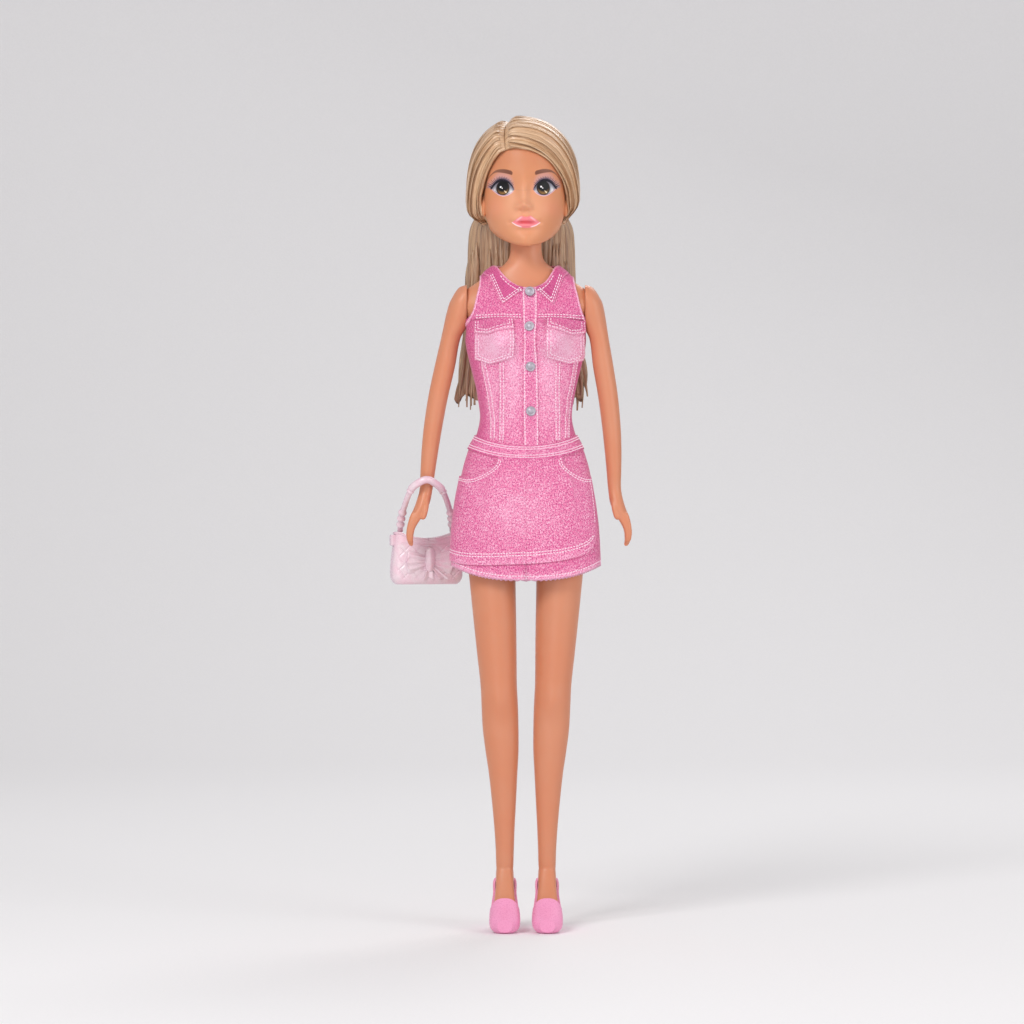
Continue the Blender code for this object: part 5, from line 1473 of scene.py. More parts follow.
# %% [markdown]
# ## Sewing tools
# A seam on the photograph is a raised strip with a line of pale stitches beside each edge. Stitches are modelled
# one by one as short rods with pointed ends, because at this size a printed line would look flat. A seam is
# given by its corners on the dress as (distance from the middle, height).


# %% Stitches
stitch_pitch = 1.05
stitch_sides = 5
# Along a stitch: share of its length, half width
stitch_form = ((0.0, 0.08), (0.22, 0.19), (0.78, 0.19), (1.0, 0.08))


def stitch(place):
    """Path of one stitch; place(share of its length) gives a point and a normal."""
    return [(*place(share), half_width, half_width * 0.75) for share, half_width in stitch_form]


def on_front(across, height, lift):
    return raised(dress_point, angle_at(across, height), height, lift)


def offset_line(corners, distance):
    """The same line moved sideways, to its left when distance is above zero."""
    moved = []
    for index, corner in enumerate(corners):
        before = Vector(corners[max(index - 1, 0)]).to_2d()
        after = Vector(corners[min(index + 1, len(corners) - 1)]).to_2d()
        here = Vector(corner).to_2d()
        first = (here - before).normalized() if index > 0 else (after - here).normalized()
        second = (after - here).normalized() if index < len(corners) - 1 else first
        normal = Vector((-(first + second).y, (first + second).x))
        normal /= max(normal.length_squared / 2, 0.4)
        moved.append((here.x + normal.x * distance, here.y + normal.y * distance))
    return moved


def on_line(start, end, part):
    return [a + (b - a) * part for a, b in zip(start, end)]


def stitch_paths(corners, place, lift):
    """Paths of the stitches along a line of corners; place turns a corner into a point and a normal."""
    paths = []
    for start, end in zip(corners, corners[1:]):
        count = max(1, round(math.dist(start, end) / stitch_pitch))
        for index in range(count):
            paths.append(stitch(lambda share: place(*on_line(start, end, (index + 0.13 + 0.74 * share) / count), lift)))
    return paths


def stitches_along(spots):
    """Paths of stitches at an even pitch along a line of (point, normal)."""
    table = np.array([[*point, *normal] for point, normal in spots])
    runs = np.append(0.0, np.linalg.norm(np.diff(table[:, :3], axis=0), axis=1).cumsum())
    count = max(1, round(runs[-1] / MM / stitch_pitch))

    def spot_at(run):
        values = [float(np.interp(run, runs, column)) for column in table.T]
        return Vector(values[:3]), Vector(values[3:])

    return [stitch(lambda share: spot_at(runs[-1] * (index + 0.12 + 0.76 * share) / count)) for index in range(count)]


def ribbon_path(corners, place, lift, half_width, half_thickness, step=0.8):
    """Path of a sewn strip along a line of corners."""
    path = []
    for start, end in zip(corners, corners[1:]):
        count = max(1, round(math.dist(start, end) / step))
        for index in range(count + (end == corners[-1])):
            spot = [a + (b - a) * index / count for a, b in zip(start, end)]
            path.append((*place(*spot, lift), half_width, half_thickness))
    return path


def add_shade(piece, value):
    attribute = piece.data.attributes.new("shade", "FLOAT", "POINT")
    attribute.data.foreach_set("value", [value] * len(piece.data.vertices))
    return piece


def front_patch(name, corners_at, columns, rows, lift, thickness, shade):
    """Thickened piece sewn on the front; corners_at(u, v) gives its distance from the middle and height."""
    piece = sheet(name, lambda u, v: on_front(*corners_at(u, v), lift)[0], columns, rows, shade=shade)
    thicken(piece, thickness)
    round_edges(piece, 0.11)
    piece.data.set_sharp_from_angle(angle=math.radians(60))
    return piece


# %% [markdown]
# ## Placket, pockets and collar
# These are the pieces that make it a jeans dress. The placket is a straight strip with a stitch line at each
# edge. Each chest pocket has a patch with a shallow point and a flap over it. The collar lies folded over the
# neckline: it starts beside the top button, rolls outwards and comes to a point, and runs on round the back.

# %% Placket
placket_half = 2.6
placket_low = band_height(0.0, 1.0) - 0.4
placket_top = 229.9
stitches = []


def placket_middle(height):
    """The placket leans a little to the doll's left as it goes down."""
    return dress_middle + 0.5 * (placket_top - height) / (placket_top - placket_low)


def placket_place(u, v):
    height = placket_low + (placket_top - placket_low) * v
    return placket_middle(height) + placket_half * (2 * u - 1), height


placket = front_patch("placket_strip", placket_place, 10, 110, trim_lift, trim,
                      lambda u, v: 0.04 - 0.3 * bump(abs(2 * u - 1) - 0.78, 0.14))
finish(placket, denim, "denim_trim", "torso", "placket")
for way in (-1, 1):
    ends = [(placket_middle(z) + way * (placket_half - 0.5), z) for z in (placket_low + 0.4, placket_top - 0.4)]
    stitches += stitch_paths(ends, on_front, trim_lift + trim)

# %% Chest pockets
pocket_inner = 6.0
pocket_outer = 19.0
pocket_tip_share = 0.6
flap_top = 218.7
flap_low = (214.9, 212.9, 213.9)
pocket_low = (205.4, 202.9, 204.6)
flap_lift = trim_lift + 0.45
flap_cloth = 0.42
pocket_cloth = 0.38


def pointed(share, heights):
    """Height of an edge that has its lowest point a little outside its middle."""
    return float(np.interp(share, (0.0, pocket_tip_share, 1.0), heights))


def pocket_across(share, sign):
    return dress_middle + sign * (pocket_inner + (pocket_outer - pocket_inner) * share)


def flap_edge(share):
    return pointed(share, flap_low)


for side, sign in SIDES:
    def patch_place(u, v, low, high, sign=sign):
        """Place on a patch between two edges, which are functions of the share from the inner side outwards."""
        share = u if sign > 0 else 1 - u
        return pocket_across(share, sign), low(share) + (high(share) - low(share)) * v

    flap = front_patch("pocket_flap_" + side + "_cloth",
                       lambda u, v: patch_place(u, v, flap_edge, lambda share: flap_top),
                       36, 14, flap_lift, flap_cloth, lambda u, v: 0.22 - 0.5 * bump(v, 0.16))
    finish(flap, denim, "denim_trim", "torso", "pocket_flap_" + side)
    pocket = front_patch("pocket_" + side + "_cloth",
                         lambda u, v: patch_place(u, v, lambda share: pointed(share, pocket_low),
                                                  lambda share: flap_edge(share) + 0.9),
                         36, 26, trim_lift, pocket_cloth,
                         lambda u, v: 0.28 * bump(v - 1, 0.1) - 0.26 - 0.34 * bump(u - 0.5, 0.3) * bump(v - 0.5, 0.4))
    finish(pocket, denim, "denim_trim", "torso", "pocket_" + side)
    inner, tip, outer = [pocket_across(share, sign) for share in (0.0, pocket_tip_share, 1.0)]
    lines = ((flap_low, flap_top - 0.3, flap_top - 0.3, flap_lift + flap_cloth),
             (pocket_low, flap_low[0] - 0.9, flap_low[2] - 0.9, trim_lift + pocket_cloth))
    for inset in (0.45, 1.35):
        shift = sign * inset
        for low, inner_top, outer_top, lift in lines:
            edge = [(inner + shift, inner_top), (inner + shift, low[0] + inset), (tip, low[1] + inset + 0.1),
                    (outer - shift, low[2] + inset), (outer - shift, outer_top)]
            stitches += stitch_paths(edge, on_front, lift)

# %% Collar
collar_ridge = 0.50
# Share along the collar, then distance from the middle and height; behind, angle and height at neck and edge
collar_neck = ((0.0, 2.3, 229.5), (0.1, 4.3, 230.2), (0.2, 6.2, 231.5), (0.3, 7.7, 233.1), (0.4, 9.0, 235.0),
               (0.5, 10.4, 237.2))
collar_edge = ((0.0, 2.5, 229.3), (0.3, 9.0, 223.9), (0.5, 13.6, 235.5))
collar_behind = ((0.5, 90.0, 237.2, 90.0, 235.5), (0.66, 118.0, 237.4, 112.0, 233.4),
                 (0.82, 148.0, 237.5, 146.0, 232.2), (1.0, 180.0, 237.5, 180.0, 232.0))


def between(rows, share):
    """Straight line between the rows of a small table."""
    return [float(np.interp(share, [row[0] for row in rows], column)) for column in list(zip(*rows))[1:]]


def front_across(share, across, sign):
    """Distance from the doll's middle; the collar's own middle shifts with the dress at the front."""
    return dress_middle * (1 - share / collar_ridge) + sign * across


def collar_place(u, v, sign):
    """Angle and height on the collar: u from the button over the shoulder to the back, v from neck to edge."""
    if u <= collar_ridge:
        across, height = on_line(between(collar_neck, u), between(collar_edge, u), v)
        start = math.radians(90.0) * smooth_step(u, 0.44, 0.5)
        return sign * max(abs(angle_at(front_across(u, across, sign), height)), start), height
    values = between(collar_behind, u)
    angle, height = on_line(values[:2], values[2:], v)
    return sign * math.radians(angle), height


for side, sign in SIDES:
    def collar_surface(u, v, sign=sign):
        angle, height = collar_place(u if sign > 0 else 1 - u, 1 - v, sign)
        roll = 0.9 + 0.25 * math.sin(math.pi * v) ** 0.8 + 0.2 * bump(v - 0.85, 0.2)
        return raised(dress_point, angle, height, roll)[0]

    collar = sheet("collar_" + side + "_fold", collar_surface, 100, 20,
                   shade=lambda u, v: 0.54 - 0.64 * bump(v, 0.10) - 0.60 * bump(v - 1, 0.08))
    thicken(collar, 0.5)
    round_edges(collar, 0.12)
    collar_tree = surface_tree(collar)
    finish(collar, denim, "denim_trim", "torso", "collar_" + side)

    def on_collar(across, height, lift, tree=collar_tree):
        """Place on the collar straight behind a point of the front view."""
        spot, normal = tree.ray_cast(at(across, -60.0, height), Vector((0, 1, 0)))[:2]
        return (spot + normal * lift * MM, normal) if spot else on_front(across, height, 1.6)

    edge = [(front_across(share, x, sign), z) for share, x, z in collar_edge]
    neck = [(front_across(share, x, sign), z) for share, x, z in collar_neck]
    for inset in (0.55, 1.25):
        line = offset_line(edge, sign * inset)
        stitches += stitch_paths([line[0], line[1], on_line(line[1], line[2], 0.93)], on_collar, 0.0)
    stitches += stitch_paths(offset_line(neck, -sign * 0.7)[:-1], on_collar, 0.0)

# %% Yoke and princess seams
# Each seam: distances from the middle of the dress and heights
seams = (((9.8, 203.4), (9.6, 190.0), (9.9, 175.2)),
         ((16.2, 204.0), (15.0, 197.0), (13.6, 190.0), (12.8, 183.0), (13.0, 176.0)))
seam_strips = []
for sign in (1, -1):
    for rise in (0.4, 1.3):
        line = [(dress_middle + sign * (placket_half + 0.4), yoke_low + rise),
                (dress_middle + sign * 19.0, yoke_low + 0.2 + rise)]
        stitches += stitch_paths(line, on_front, cloth + 0.30)
    for seam in seams:
        line = [(dress_middle + sign * x, z) for x, z in seam]
        seam_strips.append(ribbon_path(line, on_front, cloth - 0.02, 1.0, 0.14))
        for shift in (-0.6, 0.6):
            stitches += stitch_paths([(x + shift, z) for x, z in line], on_front, cloth + 0.12)
seam_piece = add_shade(tubes("bodice_seams", seam_strips, 10), -0.12)
finish(seam_piece, denim, "denim_trim", "torso")


# %% Edges of the dress
def on_dress(angle_degrees, height, lift):
    return raised(dress_point, math.radians(angle_degrees), height, lift)


def armhole_line(sign):
    """Edge of the armhole, from the back up over the shoulder and down the front."""
    heights = [216.0 + 0.45 * step for step in range(40)]
    heights = [height for height in heights if side_angle(height, sign) < math.pi / 2 * 0.985]
    front = [(sign * math.degrees(side_angle(height, sign)), height) for height in heights]
    back_line = [(sign * (180 - math.degrees(side_angle(height, sign))), height) for height in heights]
    return back_line + [(sign * 90.0, heights[-1] + 0.5)] + front[::-1] + [(sign * 90.0, heights[0] - 0.3)]


strips = [[(*on_dress(angle, height, 0.52), 0.55, 0.50) for angle, height in armhole_line(sign)] for sign in (1, -1)]
neck_line = [collar_place(share / 40, 0.0, 1) for share in range(40, -1, -1)]
neck_line += [collar_place(share / 40, 0.0, -1) for share in range(41)]
strips.append([(*raised(dress_point, angle, height, 1.0), 0.5, 0.42) for angle, height in neck_line])
edge_strips = add_shade(tubes("dress_edges", strips, 10), -0.15)
finish(edge_strips, denim_edge, "denim_trim", "torso")


# %% Waistband
def band_shade(u, v):
    return 0.02 + 0.3 * bump(v, 0.12) + 0.25 * bump(v - 1, 0.1) + 0.3 * abs(math.sin(2 * math.pi * u)) ** 6


def band_place(u, v):
    angle = 2 * math.pi * u
    return raised(dress_point, angle, band_height(angle, v), trim_lift)[0]


band_cloth = 0.5
band = sheet("waistband_sewn", band_place, 200, 12, shade=band_shade)
edit_all(band, merge_points)
thicken(band, band_cloth)
round_edges(band, 0.15)
finish(band, denim, "denim_trim", "torso", "waistband")
for share in (0.15, 0.30, 0.72, 0.87):
    line = [(step * 3.0, band_height(math.radians(step * 3.0), share)) for step in range(121)]
    for first, second in zip(line, line[1:]):
        for start, end in ((0.06, 0.44), (0.56, 0.94)):
            stitches.append(stitch(lambda part: on_dress(*on_line(first, second, start + (end - start) * part),
                                                         trim_lift + band_cloth)))

# %% Back closure
closure_low = 190.0
closure_height = 45.5
closure_half = 3.0
closure_stitches = 40


def closure_turn(across, height):
    """Angle that a distance from the middle of the back takes."""
    return across / (torso_at(height)[0] + 1)


def closure_place(u, v):
    height = closure_low + closure_height * v
    angle = math.pi + closure_turn((2 * u - 1) * closure_half, height)
    return raised(dress_point, angle, height, trim_lift)[0]


def closure_stitch(run, way):
    """Place on the stitch line at one edge; run counts the stitches from the lowest one up."""
    height = 190.6 + 44.6 * run / closure_stitches
    return on_dress(180 + way * math.degrees(closure_turn(2.4, height)), height, trim_lift + trim)


closure = sheet("back_closure_strip", closure_place, 10, 60, (6.0, 46.0), lambda u, v: 0.12)
thicken(closure, trim)
finish(closure, denim, "denim_trim", "torso", "back_closure")
for way in (-1, 1):
    for step in range(closure_stitches):
        stitches.append(stitch(lambda part: closure_stitch(step + 0.13 + 0.74 * part, way)))
finish(tubes("bodice_stitches", stitches, stitch_sides), thread, "denim_trim", "torso")

# %% [markdown]
# ## Buttons
# Four small snap buttons of grey metal-look plastic close the placket. One is turned by spinning its half
# profile, a dome inside a raised rim, and the others are copies that are set square to the cloth.

# %% Button finish
button_metal = speckled("button_metal", ((0.30, 0.27, 0.32, 1), (0.46, 0.43, 0.48, 1)), (0.40, 0.52), 4200.0, 3.0,
                        (0.00003, 0.5), Metallic=0.55)

# %% Buttons
button_profile = ((0.0, 0.78), (0.45, 0.76), (0.85, 0.62), (1.12, 0.44), (1.22, 0.40), (1.34, 0.48), (1.50, 0.56),
                  (1.66, 0.50), (1.76, 0.30), (1.76, 0.0))


def spin_profile(name, profile, turns=40):
    """Turned form: a half profile of radius and height is spun about the upright axis."""
    points = [(radius * MM, 0.0, height * MM) for radius, height in profile]
    piece = new_piece(name, points, [(index, index + 1) for index in range(len(points) - 1)], [])

    def spin():
        bpy.ops.mesh.spin(steps=turns, angle=2 * math.pi, center=(0, 0, 0), axis=(0, 0, 1))

    edit_all(piece, spin, lambda: bpy.ops.mesh.select_all(action="SELECT"), merge_points, face_outwards)
    piece.data.shade_smooth()
    return piece


button_form = spin_profile("button_form", button_profile)
button_heights = (228.2, 215.9, 201.8, 185.8)
for index, height in enumerate(button_heights):
    button = button_form.copy()
    button.data = button_form.data.copy()
    button.name = "snap_button_" + str(index + 1)
    bpy.context.scene.collection.objects.link(button)
    place, normal = on_front(placket_middle(height), height, trim_lift + trim + (0.45 if index == 0 else 0.02))
    button.data.transform(Matrix.Translation(place) @ normal.to_track_quat("Z", "Y").to_matrix().to_4x4())
    finish(button, button_metal, "button", "torso", "button_" + str(index + 1))
bpy.data.objects.remove(button_form)

# %% [markdown]
# ## Skirt
# The skirt is a short straight tube with a wrapped panel over it. It is made as a left and a right half,
# one over each leg. The lower edge is pinked: every second point of the last row stands a little higher.

# %% Skirt surface
skirt_at = reader([
    (125.0, 26.6, 13.8, 14.3, 1.0), (142.92, 25.8, 13.18, 13.73, 1.0), (152.87, 24.61, 12.9, 13.37, 1.0),
    (160.32, 23.2, 11.94, 12.87, 1.0), (166.0, 22.0, 10.79, 12.24, 0.0), (170.03, 20.8, 10.67, 11.67, 0.0),
    (174.05, 19.3, 10.5, 10.95, 0.0), (178.08, 16.9, 10.0, 9.9, 0.0),
])
skirt_hem = 130.5
hem_dip = 5.5
corner_share = 0.27
skirt_cloth = 0.6
wrap_lift = 0.72
wrap_cloth = 0.55


def skirt_point(angle, height):
    """Inner face of the skirt."""
    half_width, front, back, square = skirt_at(height)
    power = 1 - corner_share * square
    across = half_width * signed_power(math.sin(angle), power)
    facing = signed_power(math.cos(angle), power)
    pucker = noise.noise(Vector((across / 9.0, facing * 1.5 + 3.0, height / 14.0)))
    loose = 0.28 * smooth_step(166 - height, 0, 20)
    return at(across, -(front if facing > 0 else back) * facing * (1 + 0.03 * pucker * loose) - pucker * loose, height)


def hem_height(angle):
    return skirt_hem - hem_dip * math.cos(angle) ** 2


def on_skirt(angle_degrees, height, lift):
    return raised(skirt_point, math.radians(angle_degrees), height, lift)


skirt_columns = 112
skirt_rows = 60
# In degrees from the middle of the front
pocket_start = {1: 36.0, -1: 28.0}
pocket_end = 74.0
pocket_depth = 10.0
wrap_end = {1: 68.0, -1: 88.0}
wrap_lean = 8.0
wrap_edge = ((-90, -70, -55, -40, -20, 0, 20, 38, 50, 58, 64, 70),
             (132.6, 131.9, 131.2, 130.8, 130.8, 131.2, 132.3, 133.8, 135.3, 137.2, 139.8, 144.0))


def skirt_bend(side):
    """The leg of a half of the skirt, and points just above and below its hip joint."""
    hip = joint_place["hip_swing_" + side]
    return "leg_" + side, hip + Vector((0, 0, 0.012)), hip - Vector((0, 0, 0.020))


def pocket_drop(angle, sign):
    """How far the wrapped panel's upper edge drops round the pocket opening."""
    inside = min(1.0, max(0.0, (abs(angle) - pocket_start[sign]) / (pocket_end - pocket_start[sign])))
    return pocket_depth * (1 - (1 - inside) ** 2.6) ** 0.5


def wrap_low(angle):
    """Lower edge of the wrapped panel."""
    return float(np.interp(angle, *wrap_edge))


def wrap_top(angle):
    return band_height(math.radians(angle), 0.12)


# %% Skirt halves
def skirt_half(side, sign):
    def skirt_place(u, v):
        angle = math.pi * (u if sign > 0 else u - 1)
        low = hem_height(angle)
        return angle, low + v * (band_height(angle, 0.45) - low)

    def skirt_surface(u, v):
        tooth = 0.45 * MM if v < 0.001 and round(u * skirt_columns) % 2 else 0.0
        return skirt_point(*skirt_place(u, v)) + Vector((0, 0, tooth))

    def skirt_shade(u, v):
        angle, height = skirt_place(u, v)
        shade = 0.12 + 0.14 * smooth_step(abs(math.sin(angle)), 0.85, 1.0)
        shade -= 0.05 * smooth_step(height, 155, 159) * smooth_step(abs(math.degrees(angle)), 26, 34)
        return shade - 0.5 * bump(v, 0.045)

    skirt = sheet("skirt_" + side, skirt_surface, skirt_columns, skirt_rows, shade=skirt_shade)
    thicken(skirt, skirt_cloth)
    finish(skirt, denim, "denim", "torso", "skirt", bend=skirt_bend(side))


def skirt_wrap(side, sign):
    end = wrap_end[sign]

    def wrap_place(u, v):
        share = u if sign > 0 else 1 - u
        angle = sign * end * share
        top = wrap_top(angle) - pocket_drop(angle, sign)
        low = wrap_low(angle)
        lean = wrap_lean * share ** 3 * v if sign > 0 else 0.0
        return math.radians(angle + lean), low + (top - low) * v

    def wrap_shade(u, v):
        angle, height = wrap_place(u, v)
        shade = 0.06 + 0.18 * smooth_step(abs(math.sin(angle)), 0.85, 1.0) - 0.2 * bump(v, 0.06)
        shade -= 0.22 * cloud(26 * math.sin(angle), height, -2.0, 150.0, 9.0, 9.0)
        return shade + 0.1 * smooth_step(height, 166, 170)

    wrap = sheet("skirt_wrap_" + side, lambda u, v: raised(skirt_point, *wrap_place(u, v), wrap_lift)[0], 84, 60,
                 shade=wrap_shade)
    thicken(wrap, wrap_cloth)
    round_edges(wrap, 0.13)
    wrap_tree = surface_tree(wrap)
    finish(wrap, denim, "denim", "torso", "skirt_overlap", bend=skirt_bend(side))
    return wrap_tree


# %% Skirt stitches
def wrap_lines(sign):
    """Stitch lines of the wrapped panel, as lists of (degrees from the middle, height)."""
    end = wrap_end[sign]
    lines = []
    for inset in (3.2, 4.2):
        reach = 1 - (inset / 30 if sign > 0 else 0)
        angles = [sign * end * (step / 100 * reach) for step in range(101)]
        lines.append([(angle, wrap_low(angle) + inset * 0.96) for angle in angles])
    for inset in (0.7, 1.6):
        line = []
        for step in range(61):
            share = step / 60
            angle = sign * (pocket_start[sign] - 2.5 * inset + (end - pocket_start[sign]) * share ** 1.6)
            top = band_height(math.radians(angle), 0.0) - pocket_drop(angle + sign * inset * 2.2, sign) - inset * 0.6
            line.append((angle + (wrap_lean * share ** 5 if sign > 0 else 0), top))
        lines.append(line)
    return lines


def corner_line():
    """Stitch line beside the upright edge of the left panel."""
    end = wrap_end[1]
    line = []
    for step in range(41):
        height = 146.0 + 15.0 * step / 40
        share = (height - wrap_low(end)) / (wrap_top(end) - wrap_low(end))
        line.append((end + wrap_lean * max(0, share) - 4.6, height))
    return line


def sew_on(tree, line):
    """Stitches on the wrapped panel: each point of the line goes to the nearest place on it."""
    spots = [on_skirt(angle, height, wrap_lift + wrap_cloth)[0] for angle, height in line]
    return stitches_along([tree.find_nearest(spot)[:2] for spot in spots])


for side, sign in SIDES:
    skirt_half(side, sign)
    wrap_tree = skirt_wrap(side, sign)
    paths = [path for line in wrap_lines(sign) for path in sew_on(wrap_tree, line)]
    angles = [sign * 180 * step / 120 for step in range(121)]
    paths += stitches_along([on_skirt(angle, hem_height(math.radians(angle)) + 1.9, skirt_cloth) for angle in angles])
    if sign > 0:
        paths += sew_on(wrap_tree, corner_line())
    sewn = tubes("skirt_stitches_" + side, paths, stitch_sides)
    finish(sewn, thread, "denim_trim", "torso", bend=skirt_bend(side))

# %% [markdown]
# ## Handbag
# The bag is moulded in a pearly white plastic: a soft box with a scooped rim, a pleated bow on its front, and
# an arched handle with a thick grip and three beads at each end. It hangs on the doll's right wrist, so all
# of it moves with the wrist.

# %% Pearl finish
pearl, tree, shader = new_material("pearl_plastic")
place = coordinates(tree)
swirl = noise_value(place, 190.0, 3.0, 0.6)
# Partly painted light: the plastic's own pearly white is darkened and pinked as painted shade and a painted pink
# reflection of the surroundings, and the sheen at grazing angles is a painted reflection.
sheen = Wire(add_node(tree, "ShaderNodeLayerWeight", {"Blend": 0.45}).outputs["Facing"])
pearl_tint_with_painted_light = mix(swirl.fade(0.35, 0.65), (0.78, 0.63, 0.68, 1), (0.80, 0.56, 0.64, 1))
feed(shader, {"Base Color": mix(sheen.fade(0.3, 1.0, 0.0, 0.6), pearl_tint_with_painted_light, (0.68, 0.46, 0.62, 1)),
              "Roughness": noise_value(place, 2400.0).fade(0.3, 0.7, 0.22, 0.34),
              "Normal": bumped(noise_value(place, 1400.0), 0.00002, 0.4),
              "Coat Weight": 0.35, "Coat Roughness": 0.12})

# %% Bag body
bag_low = 123.6
bag_tall = 18.6
bag_rim = bag_low + bag_tall
bag_square = 0.55
bag_foot = 0.09
bag_turn = math.radians(18)
bag_middle = (-36.156, 12.5)
bag_at = reader([
    (123.6, 11.44, 3.24), (124.53, 12.5, 4.05), (126.58, 13.3, 4.5), (131.97, 13.1, 4.5), (138.48, 12.37, 4.05),
    (142.2, 11.97, 3.6),
])
bag_way = Vector((math.cos(bag_turn), math.sin(bag_turn), 0))
bag_side = Vector((-math.sin(bag_turn), math.cos(bag_turn), 0))


def bag_place(along, depth, height):
    return at(*bag_middle, height) + bag_way * along * MM + bag_side * depth * MM


def rim_height(along):
    """The rim is scooped between the two ends of the handle."""
    return bag_rim - 2.3 * max(0.0, 1 - (along / 10.4) ** 2) ** 0.75


def quilt_groove(value):
    """One along the lines of the quilting, which are 4.6 mm apart."""
    return bump((value / 4.6) % 1 - 0.5, 0.06)


def bag_surface(u, v):
    angle = 2 * math.pi * u
    side_share = signed_power(math.sin(angle), bag_square)
    close = min(1.0, v / bag_foot)
    run = max(0.0, (v - bag_foot) / (1 - bag_foot))
    top = rim_height(side_share * bag_at(bag_low + bag_tall * run)[0])
    height = bag_low + (top - bag_low) * run
    half_length, half_depth = bag_at(height)
    along = side_share * half_length * close
    through = -signed_power(math.cos(angle), bag_square) * half_depth * close
    if math.cos(angle) > 0 and v > bag_foot:
        edge = smooth_step(abs(along), half_length - 0.8, half_length - 2.2) * smooth_step(height, 125.0, 126.5)
        quilt = max(quilt_groove(along + height), quilt_groove(along - height)) * smooth_step(height, 138.6, 137.6)
        through += 0.28 * edge * max(quilt, bump(height - 138.4, 0.28))
    return bag_place(along, through, height)


bag = sheet("handbag_body", bag_surface, 220, 100, (50.0, 24.0))
edit_all(bag, merge_points, face_outwards)
thicken(bag, 0.9, -1.0)
rim_inset = 0.35
half_length, half_depth = bag_at(141.5)
rim_path = []
for step in range(129):
    angle = 2 * math.pi * step / 128
    along = signed_power(math.sin(angle), bag_square) * (half_length - rim_inset)
    depth = -signed_power(math.cos(angle), bag_square) * (half_depth - rim_inset)
    rim_path.append((bag_place(along, depth, rim_height(along) - 0.05), Vector((0, 0, 1)), 0.75, 0.55))
rim = tubes("rim", [rim_path], 10)
tab = add_primitive(bpy.ops.mesh.primitive_cube_add, size=1)
for vertex in tab.data.vertices:
    vertex.co = bag_place(-12.3 + 2.6 * vertex.co.x, 3.0 * vertex.co.y, 139.6 + 4.0 * vertex.co.z)
apply_modifier(tab, "BEVEL", width=0.5 * MM, segments=3)
tab.data.shade_smooth()
bag = join("handbag_body", [bag, rim, tab])
finish(bag, pearl, "pearl_plastic", "bag", "bag_body")

# %% Handle
handle_top = 161.2
handle_foot = 143.0
handle_steps = 240
wrist = at(-35.556, -5.166, handle_top)
handle_at = reader([
    (0.0, -9.9, 143.0), (0.08, -9.6, 146.4), (0.16, -8.9, 149.8), (0.34, -5.8, 157.7), (0.42, -3.5, 159.9),
    (0.5, 0.2, 161.4), (0.58, 3.6, 159.9), (0.66, 6.1, 157.5), (0.84, 9.1, 149.8), (0.92, 9.6, 146.4),
    (1.0, 9.9, 143.0),
], digits=12)


def handle_thickness(share):
    """Three beads at each end, and a thicker grip with a ring at each of its ends."""
    end = min(share, 1 - share)
    thickness = 1.0
    for bead in (0.055, 0.105, 0.155):
        thickness += 0.50 * bump(end - bead, 0.014)
    grip = smooth_step(end, 0.345, 0.350)
    return thickness + 0.30 * grip - 0.12 * bump(end - 0.343, 0.005) + 0.34 * bump(end - 0.330, 0.007)


handle = []
for step in range(handle_steps + 1):
    share = step / handle_steps
    along, height = handle_at(share)
    hung = (wrist - bag_place(0.2, 0, handle_top)) * ((height - handle_foot) / (handle_top - handle_foot))
    point = bag_place(along, 0, height) + Vector((hung.x, hung.y, 0))
    half = 1.05 * handle_thickness(share)
    handle.append((point, bag_side, half, half))
finish(tubes("handbag_handle", [handle], 18), pearl, "pearl_plastic", "bag", "bag_handle")

# %% Bow
bow_middle = bag_low + bag_tall * 0.45


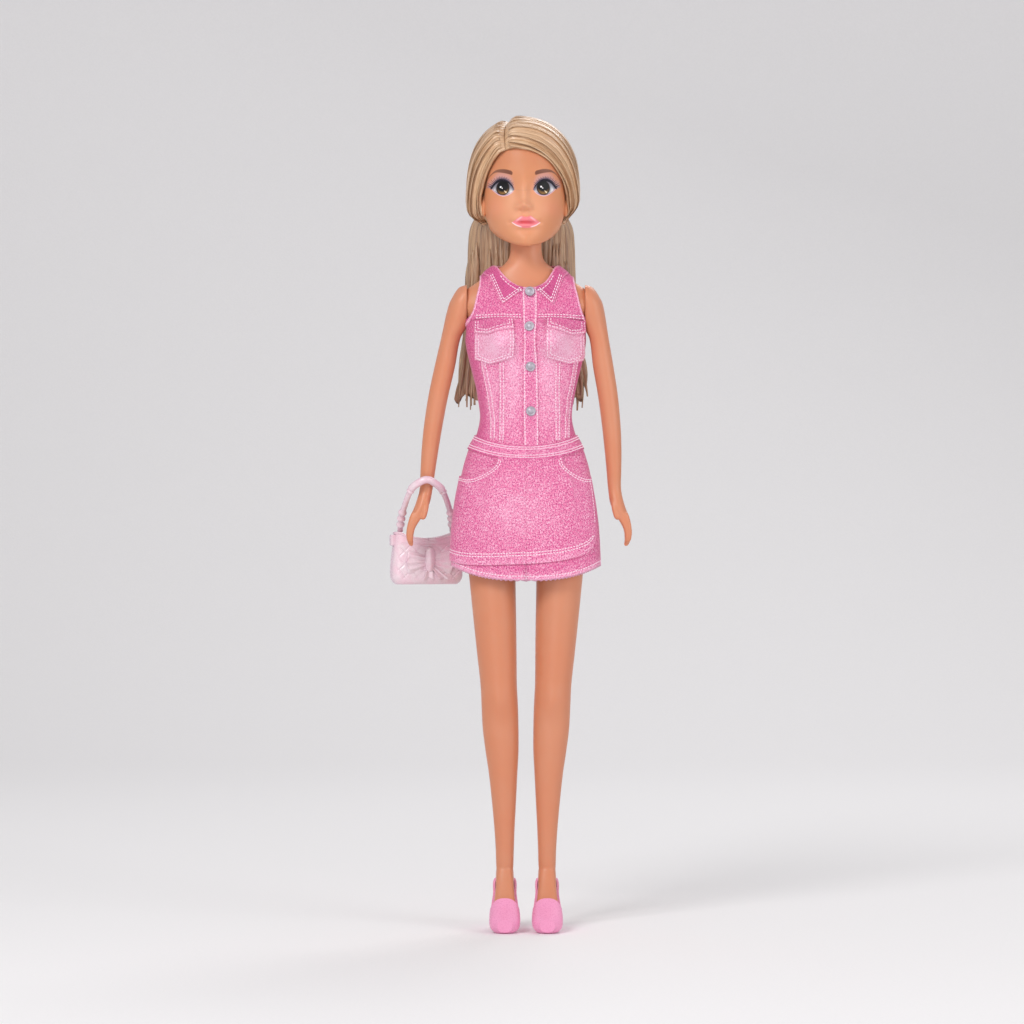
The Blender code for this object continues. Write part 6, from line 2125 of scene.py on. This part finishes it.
def bow_wing(sign):
    def surface(u, v):
        angle = 2 * math.pi * u
        facing = max(0.0, math.cos(angle))
        half = (1.5 + 3.2 * v ** 0.8) * math.sqrt(max(0.0, 1 - max(0.0, (v - 0.8) / 0.2) ** 2.5)) + 0.01
        across = half * math.sin(angle)
        fold = 0.26 * math.cos(3.4 * math.pi * across / half) * (1 - 0.3 * v)
        crown = (0.75 + 0.35 * math.sin(math.pi * v / 2)) * facing ** 0.6
        return bag_place(sign * (0.6 + 8.2 * v), -(4.1 + crown + fold * facing ** 0.5), bow_middle + across - 0.5 * v)

    return closed_form("wing", surface, 72, 36)


def bow_tail(lean, length):
    def surface(u, v):
        run = 1.0 + length * (1 - v)
        half = 0.8 + 1.2 * (1 - v)
        across = lean * run + half * (2 * u - 1)
        notch = 0.9 * (1 - abs(2 * u - 1)) * (1 - v)
        return bag_place(across, -(4.55 + 0.2 * math.cos(2 * math.pi * u)), bow_middle - 1.0 - run + notch)

    return thicken(sheet("tail", surface, 14, 16), 0.45, 1.0)


def knot_surface(u, v):
    angle = 2 * math.pi * u
    turn = math.pi * (v - 0.5)
    girth = math.cos(turn) ** 0.7 * (1 + 0.05 * math.cos(5 * angle))
    return bag_place(1.9 * girth * math.sin(angle), -4.7 - 1.3 * girth * math.cos(angle),
                     bow_middle + 0.6 + 4.5 * math.sin(turn))


knot = closed_form("knot", knot_surface, 40, 28)
bow = join("handbag_bow", [bow_wing(1), bow_wing(-1), bow_tail(-0.12, 4.6), bow_tail(0.95, 4.6), knot])
bow.data.set_sharp_from_angle(angle=math.radians(60))
finish(bow, pearl, "pearl_plastic", "bag", "bag_bow")

# %% [markdown]
# ## Hidden hard parts
# The knob inside the neck and the pin through the hips are never seen on the finished doll, so the plain
# solids stay as they are. They are moulded in an unpainted natural plastic with a faint mottle.

# %% Knob and pin
natural = speckled("natural_plastic", ((0.62, 0.58, 0.50, 1), (0.80, 0.76, 0.68, 1)), (0.38, 0.5), 700.0, 3.0,
                   (0.00003, 0.5))
for name in ("neck_knob", "hip_pin"):
    solid = bpy.data.objects[name]
    solid.data.materials.clear()
    solid.data.materials.append(natural)
    print(name, "faces:", len(solid.data.polygons))
